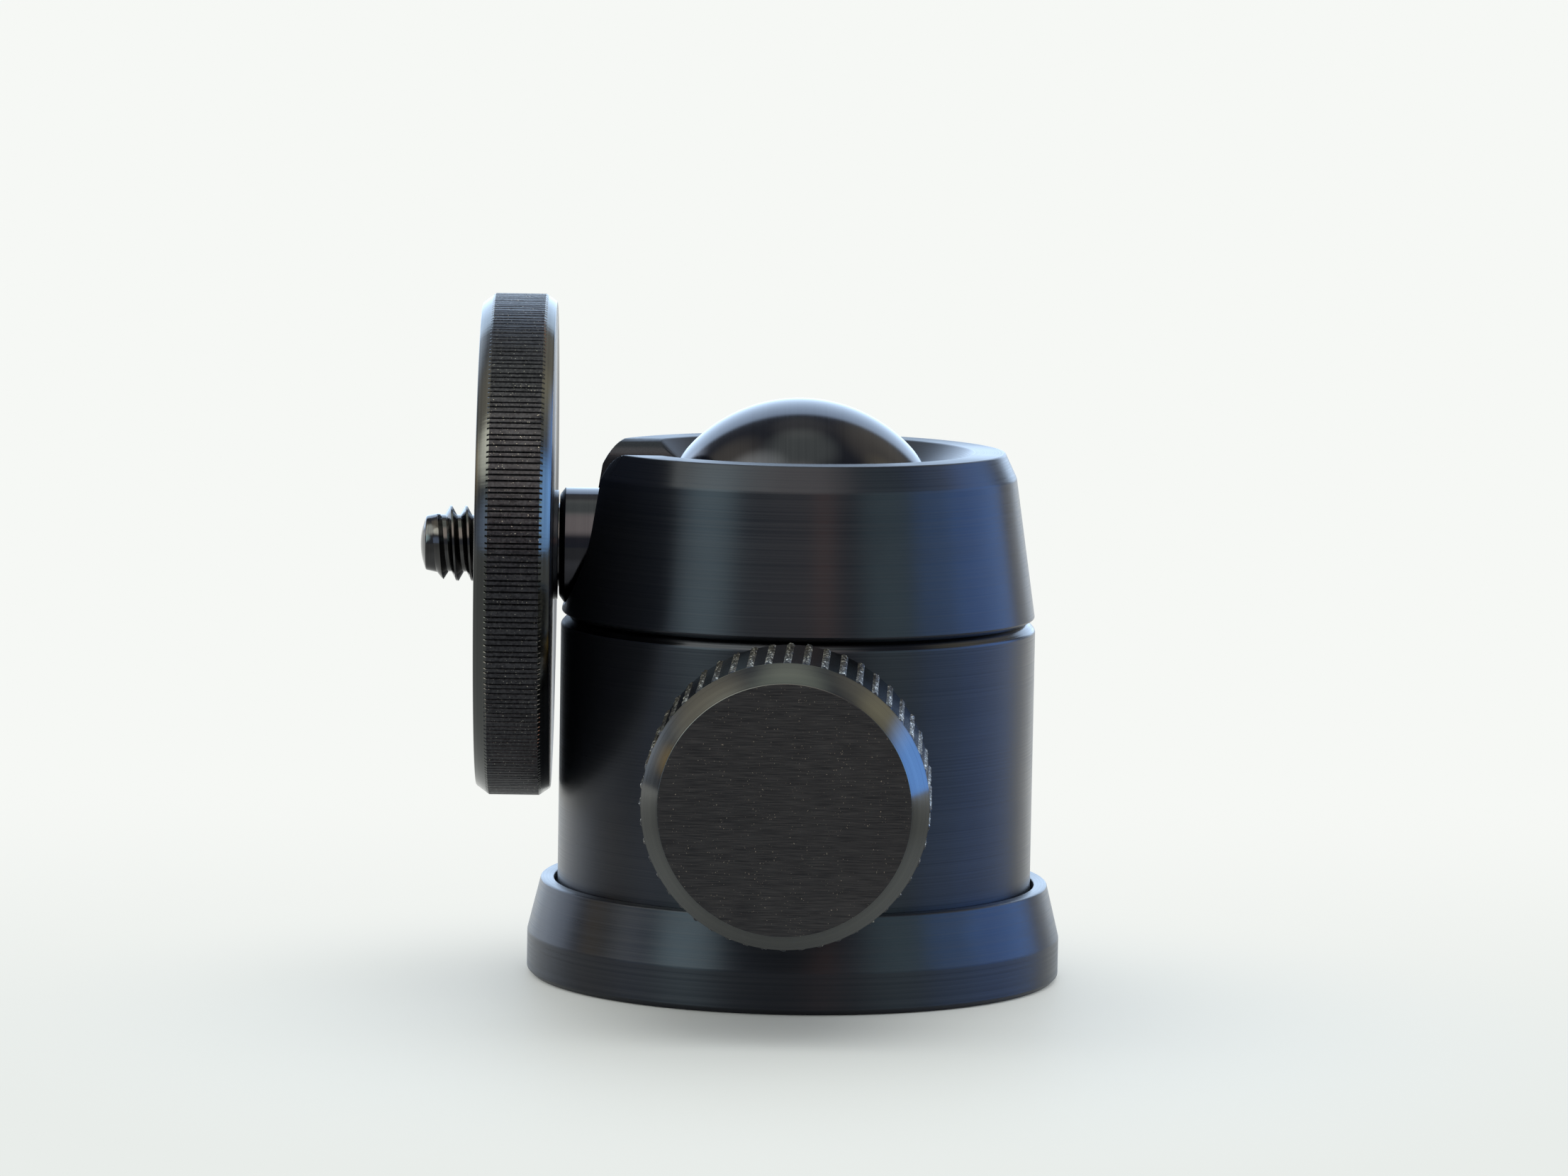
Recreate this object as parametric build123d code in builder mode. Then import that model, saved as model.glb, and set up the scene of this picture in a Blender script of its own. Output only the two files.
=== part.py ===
from build123d import *
from math import cos, radians, sin, sqrt, tan
import os

os.makedirs("parts", exist_ok=True)

# A compact tripod ball head, in millimetres.
# Frame: the origin is the centre of the base's underside and +Z is up. The ball's stem lies along -X,
# dropped into the notch of the collar, and the lock knob points to -Y, turned by knob_yaw about Z.

# ---------------------------------------------------------------- clearances
running_gap = 0.08  # radial gap of a sliding or turning fit
face_gap = 0.05  # gap between flat faces of pieces that move apart
press_gap = 0.01  # gap of a piece that is screwed or pressed home

# ---------------------------------------------------------------- base
base_skirt_gap = 0.3  # radial gap between the housing and the ring around it
base_wall_foot = 2.2  # ring's thickness at its foot
base_wall_top = 1.1  # and at its top, where the flare has leaned in
base_band_h = 3.5  # straight band above the foot
base_foot_chamfer = 0.4
base_h = 8.0  # height of the ring
base_floor = 2.6  # thickness of the floor inside the ring
hub_r = 9.5  # pivot that the housing turns on
hub_h = 7.2
tripod_hole_r = 3.97  # minor radius of a 3/8"-16 UNC thread
tripod_hole_roof = 1.8  # metal left above the blind hole

# ---------------------------------------------------------------- pan bearing
pan_washer_t = 0.5
pan_washer_inset = 1.5  # washer's edge inside the housing's wall
pan_washer_step = 1.0  # radial step from the hub to the washer
flange_washer_t = 0.4
flange_washer_w = 2.4
retainer_t = 2.4
retainer_w = 3.0  # how far the retainer reaches past the hub
retainer_step = 0.2  # spigot standing above the retainer
screw_count = 3
screw_r = 1.0
screw_head_r = 1.9
screw_depth = 5.4
screw_land = 1.6  # hub's edge to the screws' centres
spigot_land = 0.2  # screws' heads to the spigot that centres the retainer
brake_t = 2.6  # brake disc that the wedge presses on the hub
brake_channel_depth = 0.6

# ---------------------------------------------------------------- housing
housing_r = 20.0
housing_wall = 4.0  # wall around the bore that the pressure piston slides in
housing_foot_chamfer = 0.4
groove_depth = 0.65  # V-groove between the housing and the collar
groove_lower_h = 0.7
groove_upper_h = 0.35

# ---------------------------------------------------------------- ball, stem and camera platform
ball_r = 12.7
stem_r = 4.85
stem_end_chamfer = 0.45
stem_end_inset = 0.6
platform_gap = 0.67  # housing wall to the platform's back face
platform_boss_inset = 0.25  # boss inside the stem's edge
platform_boss_h = 0.35
platform_boss_gap = 0.12
platform_r = 21.1
knurl_w = 4.2
back_bevel_w = 0.93
back_bevel_inset = 0.63
face_bevel_w = 1.1
face_bevel_inset = 0.8
grip_ring_count = 4  # shallow rings turned in the camera face
grip_ring_first_r = 9.0
grip_ring_step = 2.6
grip_ring_w = 0.5
grip_ring_depth = 0.2
stud_r = 3.175  # 1/4"-20 UNC camera thread
stud_pitch = 1.27
stud_length = 5.0  # how far the stud stands out of the platform
stud_nose_h = 0.85  # plain length behind the domed tip
stud_lead_h = 1.15  # cone that the thread starts on
stud_dome_inset = 0.476  # edge of the dome inside the thread's root
stud_dome_h = 0.57
stud_spigot_step = 0.345  # how much wider the plain end is that turns in the stem
stud_spigot_h = 6.9

# ---------------------------------------------------------------- collar and ball seats
collar_inset = 0.05  # collar's foot inside the housing's wall
collar_taper = 1.75  # how far the cone leans in
collar_cone_h = 11.75
rim_bevel_h = 2.1
rim_bevel_w = 1.0
rim_w = 2.7  # flat rim
lip_drop = 2.5  # depth of the dish from the rim to the ball
lip_gap = 0.09
lip_t = 1.1
skirt_wall = 1.5  # threaded skirt that screws into the housing
skirt_play = 0.18  # radial gap between the skirt and the piston
notch_r = 7.0
notch_gap = 0.2  # gap under the stem when it lies in the notch
notch_corner_r = 1.8
ball_below_rim = 8.4  # depth of the ball's centre under the rim
seat_gap = 0.06  # gap between the ball and its two seats
upper_seat_h = 4.5
lower_seat_t = 0.94
lower_seat_from = 35.0  # polar angles of the lower seat, from straight down
lower_seat_to = 58.0

# ---------------------------------------------------------------- clamp: knob, spindle, wedge, piston
knob_yaw = 2.4  # degrees from -Y towards -X
spindle_above_wedge = 7.3  # wedge's foot to the spindle's axis
knob_r = 11.6
knob_gap = 1.1  # base's foot to the knob's rear face, seen from above
knob_length = 13.8  # knurled length
knob_rear_chamfer = 0.6
knob_step = 0.18  # knurl standing above the bevel
knob_bevel_h = 2.3
knob_bevel_w = 1.37
spindle_r = 3.0  # M6 x 1
spindle_nose_r = 2.2
spindle_nose_h = 1.6
spindle_in_knob = 11.4
bush_r = 5.0
bush_proud = 0.9  # how far the bush stands out of the housing
skirt_land = 1.3  # wall left between the bush and the collar's skirt
knob_screw_r = 1.5
knob_screw_length = 4.0
knob_screw_inset = 3.4
wedge_half_w = 5.0
wedge_half_length = 12.0
wedge_h = 9.5  # height at the wedge's middle
wedge_slope = 0.12  # rise over run of the wedge's top
wedge_under_dish = 0.95  # metal between the wedge and the piston's dish
piston_foot_gap = 0.55
piston_hole_r = 5.0
piston_foot_wall = 3.42
piston_relief_h = 5.5
piston_top_gap = 0.65  # piston's rim below the stem
key_r = 1.25  # dog point that keeps the piston from turning
key_reach = 1.5
key_slot_end = 0.4  # room for the piston's travel at each end of the slot
key_screw_r = 2.0
key_land = 0.9  # wall left between the key screw and the collar's skirt
collar_screw_r = 1.5
collar_screw_yaw = 110.0
screw_inset = 0.4  # set screws end this far below the housing's wall
hex_share = 0.6  # corner radius of a hexagon socket over the screw's radius
socket_depth = 1.5
spring_coil_r = 2.2
spring_wire_r = 0.25
spring_turns = 4
spring_above_wedge = 3.6  # wedge's foot to the spring's axis
spring_pocket_depth = 2.0
spring_pocket_play = 0.3

# ---------------------------------------------------------------- places worked out from the sizes
base_in_r = housing_r + base_skirt_gap
base_r = base_in_r + base_wall_foot
base_top_r = base_in_r + base_wall_top
bore_r = housing_r - housing_wall
screw_circle_r = hub_r - screw_land
spigot_r = screw_circle_r - screw_head_r - spigot_land
retainer_r = hub_r + retainer_w
housing_foot = base_floor + pan_washer_t + face_gap
flange_top = hub_h - flange_washer_t - face_gap
retainer_top = hub_h + retainer_t
spigot_h = retainer_top + retainer_step
brake_foot = spigot_h + face_gap
brake_top = brake_foot + brake_t
wedge_foot = brake_top - brake_channel_depth + face_gap
piston_foot = brake_top + piston_foot_gap
wedge_mid_top = wedge_foot + wedge_h
knob_z = wedge_foot + spindle_above_wedge
spring_z = wedge_foot + spring_above_wedge
seat_in_r = ball_r + seat_gap
seat_out_r = seat_in_r + lower_seat_t
dish_r = seat_out_r + face_gap
ball_z = wedge_mid_top + wedge_under_dish + dish_r
rim_z = ball_z + ball_below_rim
shoulder_z = rim_z - rim_bevel_h
collar_foot = shoulder_z - collar_cone_h
groove_z = collar_foot - groove_upper_h
housing_wall_top = groove_z - groove_lower_h
groove_r = housing_r - groove_depth
collar_foot_r = housing_r - collar_inset
shoulder_r = collar_foot_r - collar_taper
rim_r = shoulder_r - rim_bevel_w
skirt_foot = knob_z + bush_r + skirt_land
key_z = skirt_foot - key_screw_r - key_land
piston_r = bore_r - running_gap
piston_relief_r = piston_r - piston_foot_wall
piston_top = ball_z - stem_r - piston_top_gap
skirt_in_r = piston_r + skirt_play
skirt_out_r = skirt_in_r + skirt_wall
lip_z = rim_z - lip_drop
shelf_z = lip_z - lip_t
lip_r = sqrt((ball_r + lip_gap) ** 2 - (lip_z - ball_z) ** 2)
shelf_r = sqrt((ball_r + 3 * lip_gap) ** 2 - (shelf_z - ball_z) ** 2)
notch_foot = ball_z - stem_r - notch_gap
platform_boss_r = stem_r - platform_boss_inset
platform_back = housing_r + platform_gap
platform_face = platform_back + back_bevel_w + knurl_w + face_bevel_w
stud_shoulder = platform_back - platform_boss_h
stem_end = stud_shoulder - platform_boss_gap
stud_tip = platform_face + stud_length
stud_nose = stud_tip - stud_dome_h
stud_ridge_h = 0.61343 * stud_pitch
stud_root_r = stud_r - stud_ridge_h
stud_dome_r = stud_root_r - stud_dome_inset
stud_spigot_r = stud_r + stud_spigot_step
thread_start = platform_face - stud_pitch / 2
thread_end = stud_nose - stud_nose_h
knob_rear = base_r + knob_gap
knob_shoulder = knob_rear + knob_length
knob_bevel_r = knob_r - knob_step
knob_face = knob_shoulder + knob_bevel_h
spindle_nose = wedge_half_length + face_gap
spindle_end = knob_rear + spindle_in_knob
spring_far = sqrt(bore_r**2 - (spring_coil_r + spring_wire_r) ** 2) - face_gap
spring_near = wedge_half_length - spring_pocket_depth + face_gap
spring_rise = spring_far - spring_near - 2 * spring_wire_r

up = Vector(0, 0, 1)
ball_centre = Vector(0, 0, ball_z)
stem_axis = Axis(ball_centre, (-1, 0, 0))
knob_out = Vector(-sin(radians(knob_yaw)), -cos(radians(knob_yaw)), 0)
knob_axis = Axis((0, 0, knob_z), knob_out)
# Local x of this plane runs out along the knob's axis, and local y is the height above the base.
knob_side = Plane(origin=(0, 0, 0), x_dir=knob_out, z_dir=knob_out.cross(up))
collar_screw_dir = (cos(radians(collar_screw_yaw)), sin(radians(collar_screw_yaw)), 0)
collar_screw_plane = Plane(origin=(0, 0, (skirt_foot + groove_z) / 2), z_dir=collar_screw_dir)
knob_screw_at = knob_out * (knob_rear + knob_screw_inset) + up * knob_z
knob_screw_plane = Plane(origin=knob_screw_at, z_dir=(0, 0, -1))


def knob_plane(distance: float, height: float = knob_z) -> Plane:
    """Plane square to the knob's axis and facing outwards, at a distance from the housing's axis."""
    return Plane(origin=knob_out * distance + up * height, x_dir=up, z_dir=knob_out)


def stem_plane(distance: float) -> Plane:
    """Plane square to the stem and facing outwards, at a distance from the ball's centre."""
    return Plane(origin=ball_centre + Vector(-distance, 0, 0), x_dir=up, z_dir=(-1, 0, 0))


def wedge_top(distance: float) -> float:
    """Height of the wedge's sloping top at a distance out along the knob's axis."""
    return wedge_mid_top + wedge_slope * distance


def seat_point(radius: float, polar: float) -> tuple[float, float]:
    """Point of a seat's section, by its radius from the ball's centre and its angle from straight down."""
    return radius * sin(radians(polar)), ball_z - radius * cos(radians(polar))


# ================================================================ base
with BuildPart() as base_plate:
    with BuildSketch(Plane.XZ):
        with BuildLine():
            Polyline(
                (0, spigot_h - tripod_hole_roof),
                (tripod_hole_r, spigot_h - tripod_hole_roof),
                (tripod_hole_r, 0),
                (base_r - base_foot_chamfer, 0),
                (base_r, base_foot_chamfer),
                (base_r, base_band_h),
                (base_top_r, base_h),
                (base_in_r, base_h),
                (base_in_r, base_floor),
                (hub_r, base_floor),
                (hub_r, hub_h),
                (spigot_r, hub_h),
                (spigot_r, spigot_h),
                (0, spigot_h),
                close=True,
            )
        make_face()
    revolve(axis=Axis.Z)
    with BuildSketch(Plane.XY.offset(hub_h)):
        with PolarLocations(screw_circle_r, screw_count):
            Circle(screw_r + press_gap)
    extrude(amount=retainer_t - screw_depth - face_gap, mode=Mode.SUBTRACT)

with BuildPart() as pan_washer:
    with BuildSketch(Plane.XY.offset(base_floor)):
        Circle(housing_r - pan_washer_inset)
        Circle(hub_r + pan_washer_step, mode=Mode.SUBTRACT)
    extrude(amount=pan_washer_t)

with BuildPart() as pan_retainer:
    with BuildSketch(Plane.XY.offset(hub_h)):
        Circle(retainer_r)
        Circle(spigot_r + press_gap, mode=Mode.SUBTRACT)
    extrude(amount=retainer_t)
    with Locations((0, 0, retainer_top)):
        with PolarLocations(screw_circle_r, screw_count):
            CounterSinkHole(screw_r + press_gap, screw_head_r + press_gap, counter_sink_angle=90)

with BuildPart() as retainer_screws:
    with BuildSketch(Plane.XZ):
        with BuildLine():
            Polyline(
                (screw_circle_r, retainer_top),
                (screw_circle_r + screw_head_r, retainer_top),
                (screw_circle_r + screw_r, retainer_top - (screw_head_r - screw_r)),
                (screw_circle_r + screw_r, retainer_top - screw_depth),
                (screw_circle_r, retainer_top - screw_depth),
                close=True,
            )
        make_face()
    revolve(axis=Axis((screw_circle_r, 0, 0), (0, 0, 1)))
    with BuildSketch(Plane.XY.offset(retainer_top)):
        with Locations((screw_circle_r, 0)):
            RegularPolygon(screw_r * hex_share, 6)
    extrude(amount=-screw_r, mode=Mode.SUBTRACT)
    first_screw = retainer_screws.part
    for number in range(1, screw_count):
        add(first_screw.rotate(Axis.Z, number * 360 / screw_count))

# ================================================================ housing and what turns with it
with BuildPart() as main_housing:
    with BuildSketch(Plane.XZ):
        with BuildLine():
            Polyline(
                (hub_r + running_gap, housing_foot),
                (housing_r - housing_foot_chamfer, housing_foot),
                (housing_r, housing_foot + housing_foot_chamfer),
                (housing_r, housing_wall_top),
                (groove_r, groove_z),
                (skirt_out_r + press_gap, groove_z),
                (skirt_out_r + press_gap, skirt_foot),
                (bore_r, skirt_foot),
                (bore_r, flange_top),
                (hub_r + running_gap, flange_top),
                close=True,
            )
        make_face()
    revolve(axis=Axis.Z)
    with BuildSketch(knob_plane(0)):
        Circle(bush_r + press_gap)
    extrude(amount=2 * housing_r, mode=Mode.SUBTRACT)
    with BuildSketch(knob_plane(0, key_z)):
        Circle(key_screw_r + press_gap)
    extrude(amount=-2 * housing_r, mode=Mode.SUBTRACT)
    with BuildSketch(collar_screw_plane):
        Circle(collar_screw_r + press_gap)
    extrude(amount=2 * housing_r, mode=Mode.SUBTRACT)

with BuildPart() as flange_washer:
    with BuildSketch(Plane.XY.offset(flange_top)):
        Circle(hub_r + running_gap + flange_washer_w)
        Circle(hub_r + running_gap, mode=Mode.SUBTRACT)
    extrude(amount=flange_washer_t)

with BuildPart() as pan_brake:
    with BuildSketch(Plane.XY.offset(brake_foot)):
        Circle(piston_r)
    extrude(amount=brake_t)
    with BuildSketch(knob_side):
        with Locations((0, brake_top)):
            Rectangle(4 * bore_r, 2 * brake_channel_depth)
    extrude(amount=wedge_half_w + running_gap, both=True, mode=Mode.SUBTRACT)

# The drop notch that the stem lies in: a round-bottomed slot with rounded entry corners at the rim.
with BuildSketch(Plane.YZ) as notch:
    with Locations((0, notch_foot + notch_r)):
        Circle(notch_r)
        Rectangle(2 * notch_r, 2 * housing_r, align=(Align.CENTER, Align.MIN))
    with Locations((0, rim_z)):
        Rectangle(4 * notch_r, 2 * housing_r, align=(Align.CENTER, Align.MIN))
    at_rim = notch.vertices().filter_by(lambda corner: abs(corner.Y - rim_z) < face_gap)
    fillet(at_rim.filter_by(lambda corner: abs(abs(corner.X) - notch_r) < face_gap), notch_corner_r)

with BuildPart() as socket_collar:
    with BuildSketch(Plane.XZ):
        with BuildLine():
            Polyline(
                (skirt_in_r, skirt_foot),
                (skirt_out_r, skirt_foot),
                (skirt_out_r, groove_z),
                (groove_r, groove_z),
                (collar_foot_r, collar_foot),
                (shoulder_r, shoulder_z),
                (rim_r, rim_z),
                (rim_r - rim_w, rim_z),
                (lip_r, lip_z),
                (shelf_r, shelf_z),
                (skirt_in_r, shelf_z),
                close=True,
            )
        make_face()
    revolve(axis=Axis.Z)
    extrude(notch.sketch, amount=-2 * housing_r, mode=Mode.SUBTRACT)

with BuildPart() as upper_seat:
    with BuildSketch(Plane.XZ):
        with Locations((0, shelf_z)):
            Rectangle(skirt_in_r - press_gap, upper_seat_h, align=(Align.MIN, Align.MAX))
        with Locations((0, ball_z)):
            Circle(seat_in_r, mode=Mode.SUBTRACT)
    revolve(axis=Axis.Z)
    extrude(notch.sketch, amount=-2 * housing_r, mode=Mode.SUBTRACT)

with BuildPart() as collar_screw:
    with BuildSketch(collar_screw_plane.offset(skirt_out_r + press_gap)):
        Circle(collar_screw_r)
    extrude(amount=housing_r - screw_inset - skirt_out_r - press_gap)
    with BuildSketch(collar_screw_plane.offset(housing_r - screw_inset)):
        RegularPolygon(collar_screw_r * hex_share, 6)
    extrude(amount=-socket_depth, mode=Mode.SUBTRACT)

with BuildPart() as key_screw:
    with BuildSketch(knob_plane(screw_inset - housing_r, key_z)):
        Circle(key_screw_r)
    extrude(amount=housing_r - bore_r - screw_inset)
    with BuildSketch(knob_plane(-bore_r, key_z)):
        Circle(key_r)
    extrude(amount=key_reach)
    with BuildSketch(knob_plane(screw_inset - housing_r, key_z)):
        RegularPolygon(key_screw_r * hex_share, 6)
    extrude(amount=socket_depth, mode=Mode.SUBTRACT)

with BuildPart() as spindle_bush:
    with BuildSketch(knob_plane(bore_r + face_gap)):
        Circle(bush_r)
        Circle(spindle_r + running_gap, mode=Mode.SUBTRACT)
    extrude(amount=housing_r + bush_proud - bore_r - face_gap)

with BuildPart() as wedge_spring:
    with BuildLine() as coil:
        Helix(
            pitch=spring_rise / spring_turns,
            height=spring_rise,
            radius=spring_coil_r,
            center=knob_out * (spring_wire_r - spring_far) + up * spring_z,
            direction=knob_out,
        )
    with BuildSketch(Plane(origin=coil.line @ 0, z_dir=coil.line % 0)):
        Circle(spring_wire_r)
    sweep(path=coil.line, is_frenet=True)

# ================================================================ clamp
with BuildPart() as clamp_wedge:
    with BuildSketch(knob_side):
        with BuildLine():
            Polyline(
                (-wedge_half_length, wedge_foot),
                (wedge_half_length, wedge_foot),
                (wedge_half_length, wedge_top(wedge_half_length)),
                (-wedge_half_length, wedge_top(-wedge_half_length)),
                close=True,
            )
        make_face()
    extrude(amount=wedge_half_w, both=True)
    with BuildSketch(knob_plane(-wedge_half_length, spring_z)):
        Circle(spring_coil_r + spring_wire_r + spring_pocket_play)
    extrude(amount=spring_pocket_depth, mode=Mode.SUBTRACT)

with BuildPart() as pressure_piston:
    with BuildSketch(Plane.XZ):
        with BuildLine():
            Polyline(
                (piston_hole_r, piston_foot + piston_relief_h),
                (piston_relief_r, piston_foot + piston_relief_h),
                (piston_relief_r, piston_foot),
                (piston_r, piston_foot),
                (piston_r, piston_top),
                (piston_hole_r, piston_top),
                close=True,
            )
        make_face()
        with Locations((0, ball_z)):
            Circle(dish_r, mode=Mode.SUBTRACT)
    revolve(axis=Axis.Z)
    with BuildSketch(knob_side):
        with BuildLine():
            Polyline(
                (-housing_r, piston_foot - face_gap),
                (housing_r, piston_foot - face_gap),
                (housing_r, wedge_top(housing_r) + face_gap),
                (-housing_r, wedge_top(-housing_r) + face_gap),
                close=True,
            )
        make_face()
    extrude(amount=wedge_half_w + running_gap, both=True, mode=Mode.SUBTRACT)
    with BuildSketch(knob_plane(-housing_r, key_z)):
        SlotCenterToCenter(2 * key_slot_end, 2 * (key_r + running_gap))
    extrude(amount=housing_r - bore_r + key_reach + key_slot_end, mode=Mode.SUBTRACT)

with BuildPart() as lower_seat:
    with BuildSketch(Plane.XZ):
        seat_middle = (lower_seat_from + lower_seat_to) / 2
        with BuildLine():
            Line(seat_point(seat_in_r, lower_seat_from), seat_point(seat_out_r, lower_seat_from))
            ThreePointArc(
                seat_point(seat_out_r, lower_seat_from),
                seat_point(seat_out_r, seat_middle),
                seat_point(seat_out_r, lower_seat_to),
            )
            Line(seat_point(seat_out_r, lower_seat_to), seat_point(seat_in_r, lower_seat_to))
            ThreePointArc(
                seat_point(seat_in_r, lower_seat_to),
                seat_point(seat_in_r, seat_middle),
                seat_point(seat_in_r, lower_seat_from),
            )
        make_face()
    revolve(axis=Axis.Z)

with BuildPart() as lock_knob:
    with BuildSketch(knob_side):
        with BuildLine():
            Polyline(
                (knob_rear, knob_z),
                (knob_rear, knob_z + knob_r - knob_rear_chamfer),
                (knob_rear + knob_rear_chamfer, knob_z + knob_r),
                (knob_shoulder - knob_step, knob_z + knob_r),
                (knob_shoulder, knob_z + knob_bevel_r),
                (knob_face, knob_z + knob_bevel_r - knob_bevel_w),
                (knob_face, knob_z),
                close=True,
            )
        make_face()
    revolve(axis=knob_axis)
    with BuildSketch(knob_plane(knob_rear)):
        Circle(spindle_r + press_gap)
    extrude(amount=spindle_in_knob + press_gap, mode=Mode.SUBTRACT)
    with BuildSketch(knob_screw_plane):
        Circle(knob_screw_r + press_gap)
    extrude(amount=2 * knob_r, mode=Mode.SUBTRACT)

with BuildPart() as lock_spindle:
    with BuildSketch(knob_plane(spindle_nose)):
        Circle(spindle_nose_r)
    extrude(amount=spindle_nose_h)
    with BuildSketch(knob_plane(spindle_nose + spindle_nose_h)):
        Circle(spindle_r)
    extrude(amount=spindle_end - spindle_nose - spindle_nose_h)

with BuildPart() as knob_screw:
    with BuildSketch(knob_screw_plane.offset(spindle_r + press_gap)):
        Circle(knob_screw_r)
    extrude(amount=knob_screw_length)
    with BuildSketch(knob_screw_plane.offset(spindle_r + press_gap + knob_screw_length)):
        RegularPolygon(knob_screw_r * hex_share, 6)
    extrude(amount=-socket_depth, mode=Mode.SUBTRACT)

# ================================================================ ball and camera platform
with BuildPart() as ball_stem:
    with Locations(ball_centre):
        Sphere(ball_r)
    with BuildSketch(Plane.XZ):
        with BuildLine():
            Polyline(
                (0, ball_z),
                (0, ball_z + stem_r),
                (stem_end_chamfer - stem_end, ball_z + stem_r),
                (-stem_end, ball_z + stem_r - stem_end_inset),
                (-stem_end, ball_z),
                close=True,
            )
        make_face()
    revolve(axis=stem_axis)
    with BuildSketch(stem_plane(stem_end)):
        Circle(stud_spigot_r + running_gap)
    extrude(amount=-stud_spigot_h - face_gap, mode=Mode.SUBTRACT)

with BuildPart() as platform_disc:
    with BuildSketch(Plane.XZ):
        with BuildLine():
            Polyline(
                (-stud_shoulder, ball_z + stud_r + press_gap),
                (-stud_shoulder, ball_z + platform_boss_r),
                (-platform_back, ball_z + platform_boss_r),
                (-platform_back, ball_z + platform_r - back_bevel_inset),
                (-platform_back - back_bevel_w, ball_z + platform_r),
                (face_bevel_w - platform_face, ball_z + platform_r),
                (-platform_face, ball_z + platform_r - face_bevel_inset),
                (-platform_face, ball_z + stud_r + press_gap),
                close=True,
            )
        make_face()
        for ring in range(grip_ring_count):
            with Locations((-platform_face, ball_z + grip_ring_first_r + ring * grip_ring_step)):
                Rectangle(2 * grip_ring_depth, grip_ring_w, mode=Mode.SUBTRACT)
    revolve(axis=stem_axis)

with BuildPart() as camera_stud:
    # The core, from the domed tip to the spigot that turns in the stem.
    with BuildSketch(Plane.XZ):
        with BuildLine():
            TangentArc((-stud_tip, ball_z), (-stud_nose, ball_z + stud_dome_r), tangent=(0, 1))
            Polyline(
                (-stud_nose, ball_z + stud_dome_r),
                (stud_root_r - stud_dome_r - stud_nose, ball_z + stud_root_r),
                (stud_pitch / 2 - thread_start, ball_z + stud_root_r),
                (stud_pitch / 2 - thread_start, ball_z + stud_r),
                (press_gap - stud_shoulder, ball_z + stud_r),
                (press_gap - stud_shoulder, ball_z + stud_spigot_r),
                (stud_spigot_h - stem_end, ball_z + stud_spigot_r),
                (stud_spigot_h - stem_end, ball_z),
                (-stud_tip, ball_z),
            )
        make_face()
    revolve(axis=stem_axis)
    # The thread is one ridge wound on the core, then cut back to a cone at the nose.
    with BuildLine() as thread:
        Helix(
            pitch=stud_pitch,
            height=thread_end - thread_start,
            radius=stud_root_r,
            center=ball_centre - Vector(thread_start, 0, 0),
            direction=(-1, 0, 0),
        )
    ridge_out = (thread.line @ 0) - (ball_centre - Vector(thread_start, 0, 0))
    with BuildSketch(Plane(origin=thread.line @ 0, x_dir=ridge_out, z_dir=thread.line % 0)):
        crest_half_w = stud_pitch / 16
        root_half_w = crest_half_w + (stud_ridge_h + face_gap) * tan(radians(30))
        with BuildLine():
            Polyline(
                (-face_gap, -root_half_w),
                (stud_ridge_h, -crest_half_w),
                (stud_ridge_h, crest_half_w),
                (-face_gap, root_half_w),
                close=True,
            )
        make_face()
    sweep(path=thread.line, is_frenet=True)
    lead_foot = stud_nose + press_gap - stud_nose_h / 2
    with BuildSketch(Plane.XZ):
        with BuildLine():
            Polyline(
                (-stud_tip, ball_z + stud_root_r + press_gap),
                (-lead_foot, ball_z + stud_root_r + press_gap),
                (stud_lead_h - lead_foot, ball_z + stud_r + press_gap),
                (stud_lead_h - lead_foot, ball_z + 2 * stud_r),
                (-stud_tip, ball_z + 2 * stud_r),
                close=True,
            )
        make_face()
    revolve(axis=stem_axis, mode=Mode.SUBTRACT)

# ================================================================ written pieces
pieces = {
    "base_plate": base_plate,
    "pan_washer": pan_washer,
    "pan_retainer": pan_retainer,
    "retainer_screws": retainer_screws,
    "main_housing": main_housing,
    "flange_washer": flange_washer,
    "pan_brake": pan_brake,
    "socket_collar": socket_collar,
    "upper_seat": upper_seat,
    "collar_screw": collar_screw,
    "key_screw": key_screw,
    "spindle_bush": spindle_bush,
    "wedge_spring": wedge_spring,
    "clamp_wedge": clamp_wedge,
    "pressure_piston": pressure_piston,
    "lower_seat": lower_seat,
    "lock_knob": lock_knob,
    "lock_spindle": lock_spindle,
    "knob_screw": knob_screw,
    "ball_stem": ball_stem,
    "platform_disc": platform_disc,
    "camera_stud": camera_stud,
}
for name, piece in pieces.items():
    piece.part.label = name
    export_step(piece.part, f"parts/{name}.step")
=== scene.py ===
"""Dresses the tripod ball head: black anodised aluminium off the lathe, a polished ball, steel threads.

Sizes are millimetres until a shape is placed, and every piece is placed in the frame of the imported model.
"""
from __future__ import annotations

import logging
import math
import random
from collections.abc import Callable, Iterable, Mapping, Sequence
from dataclasses import dataclass
from enum import Enum
from typing import NamedTuple

import bmesh
import bpy
from mathutils import Matrix, Vector

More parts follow.
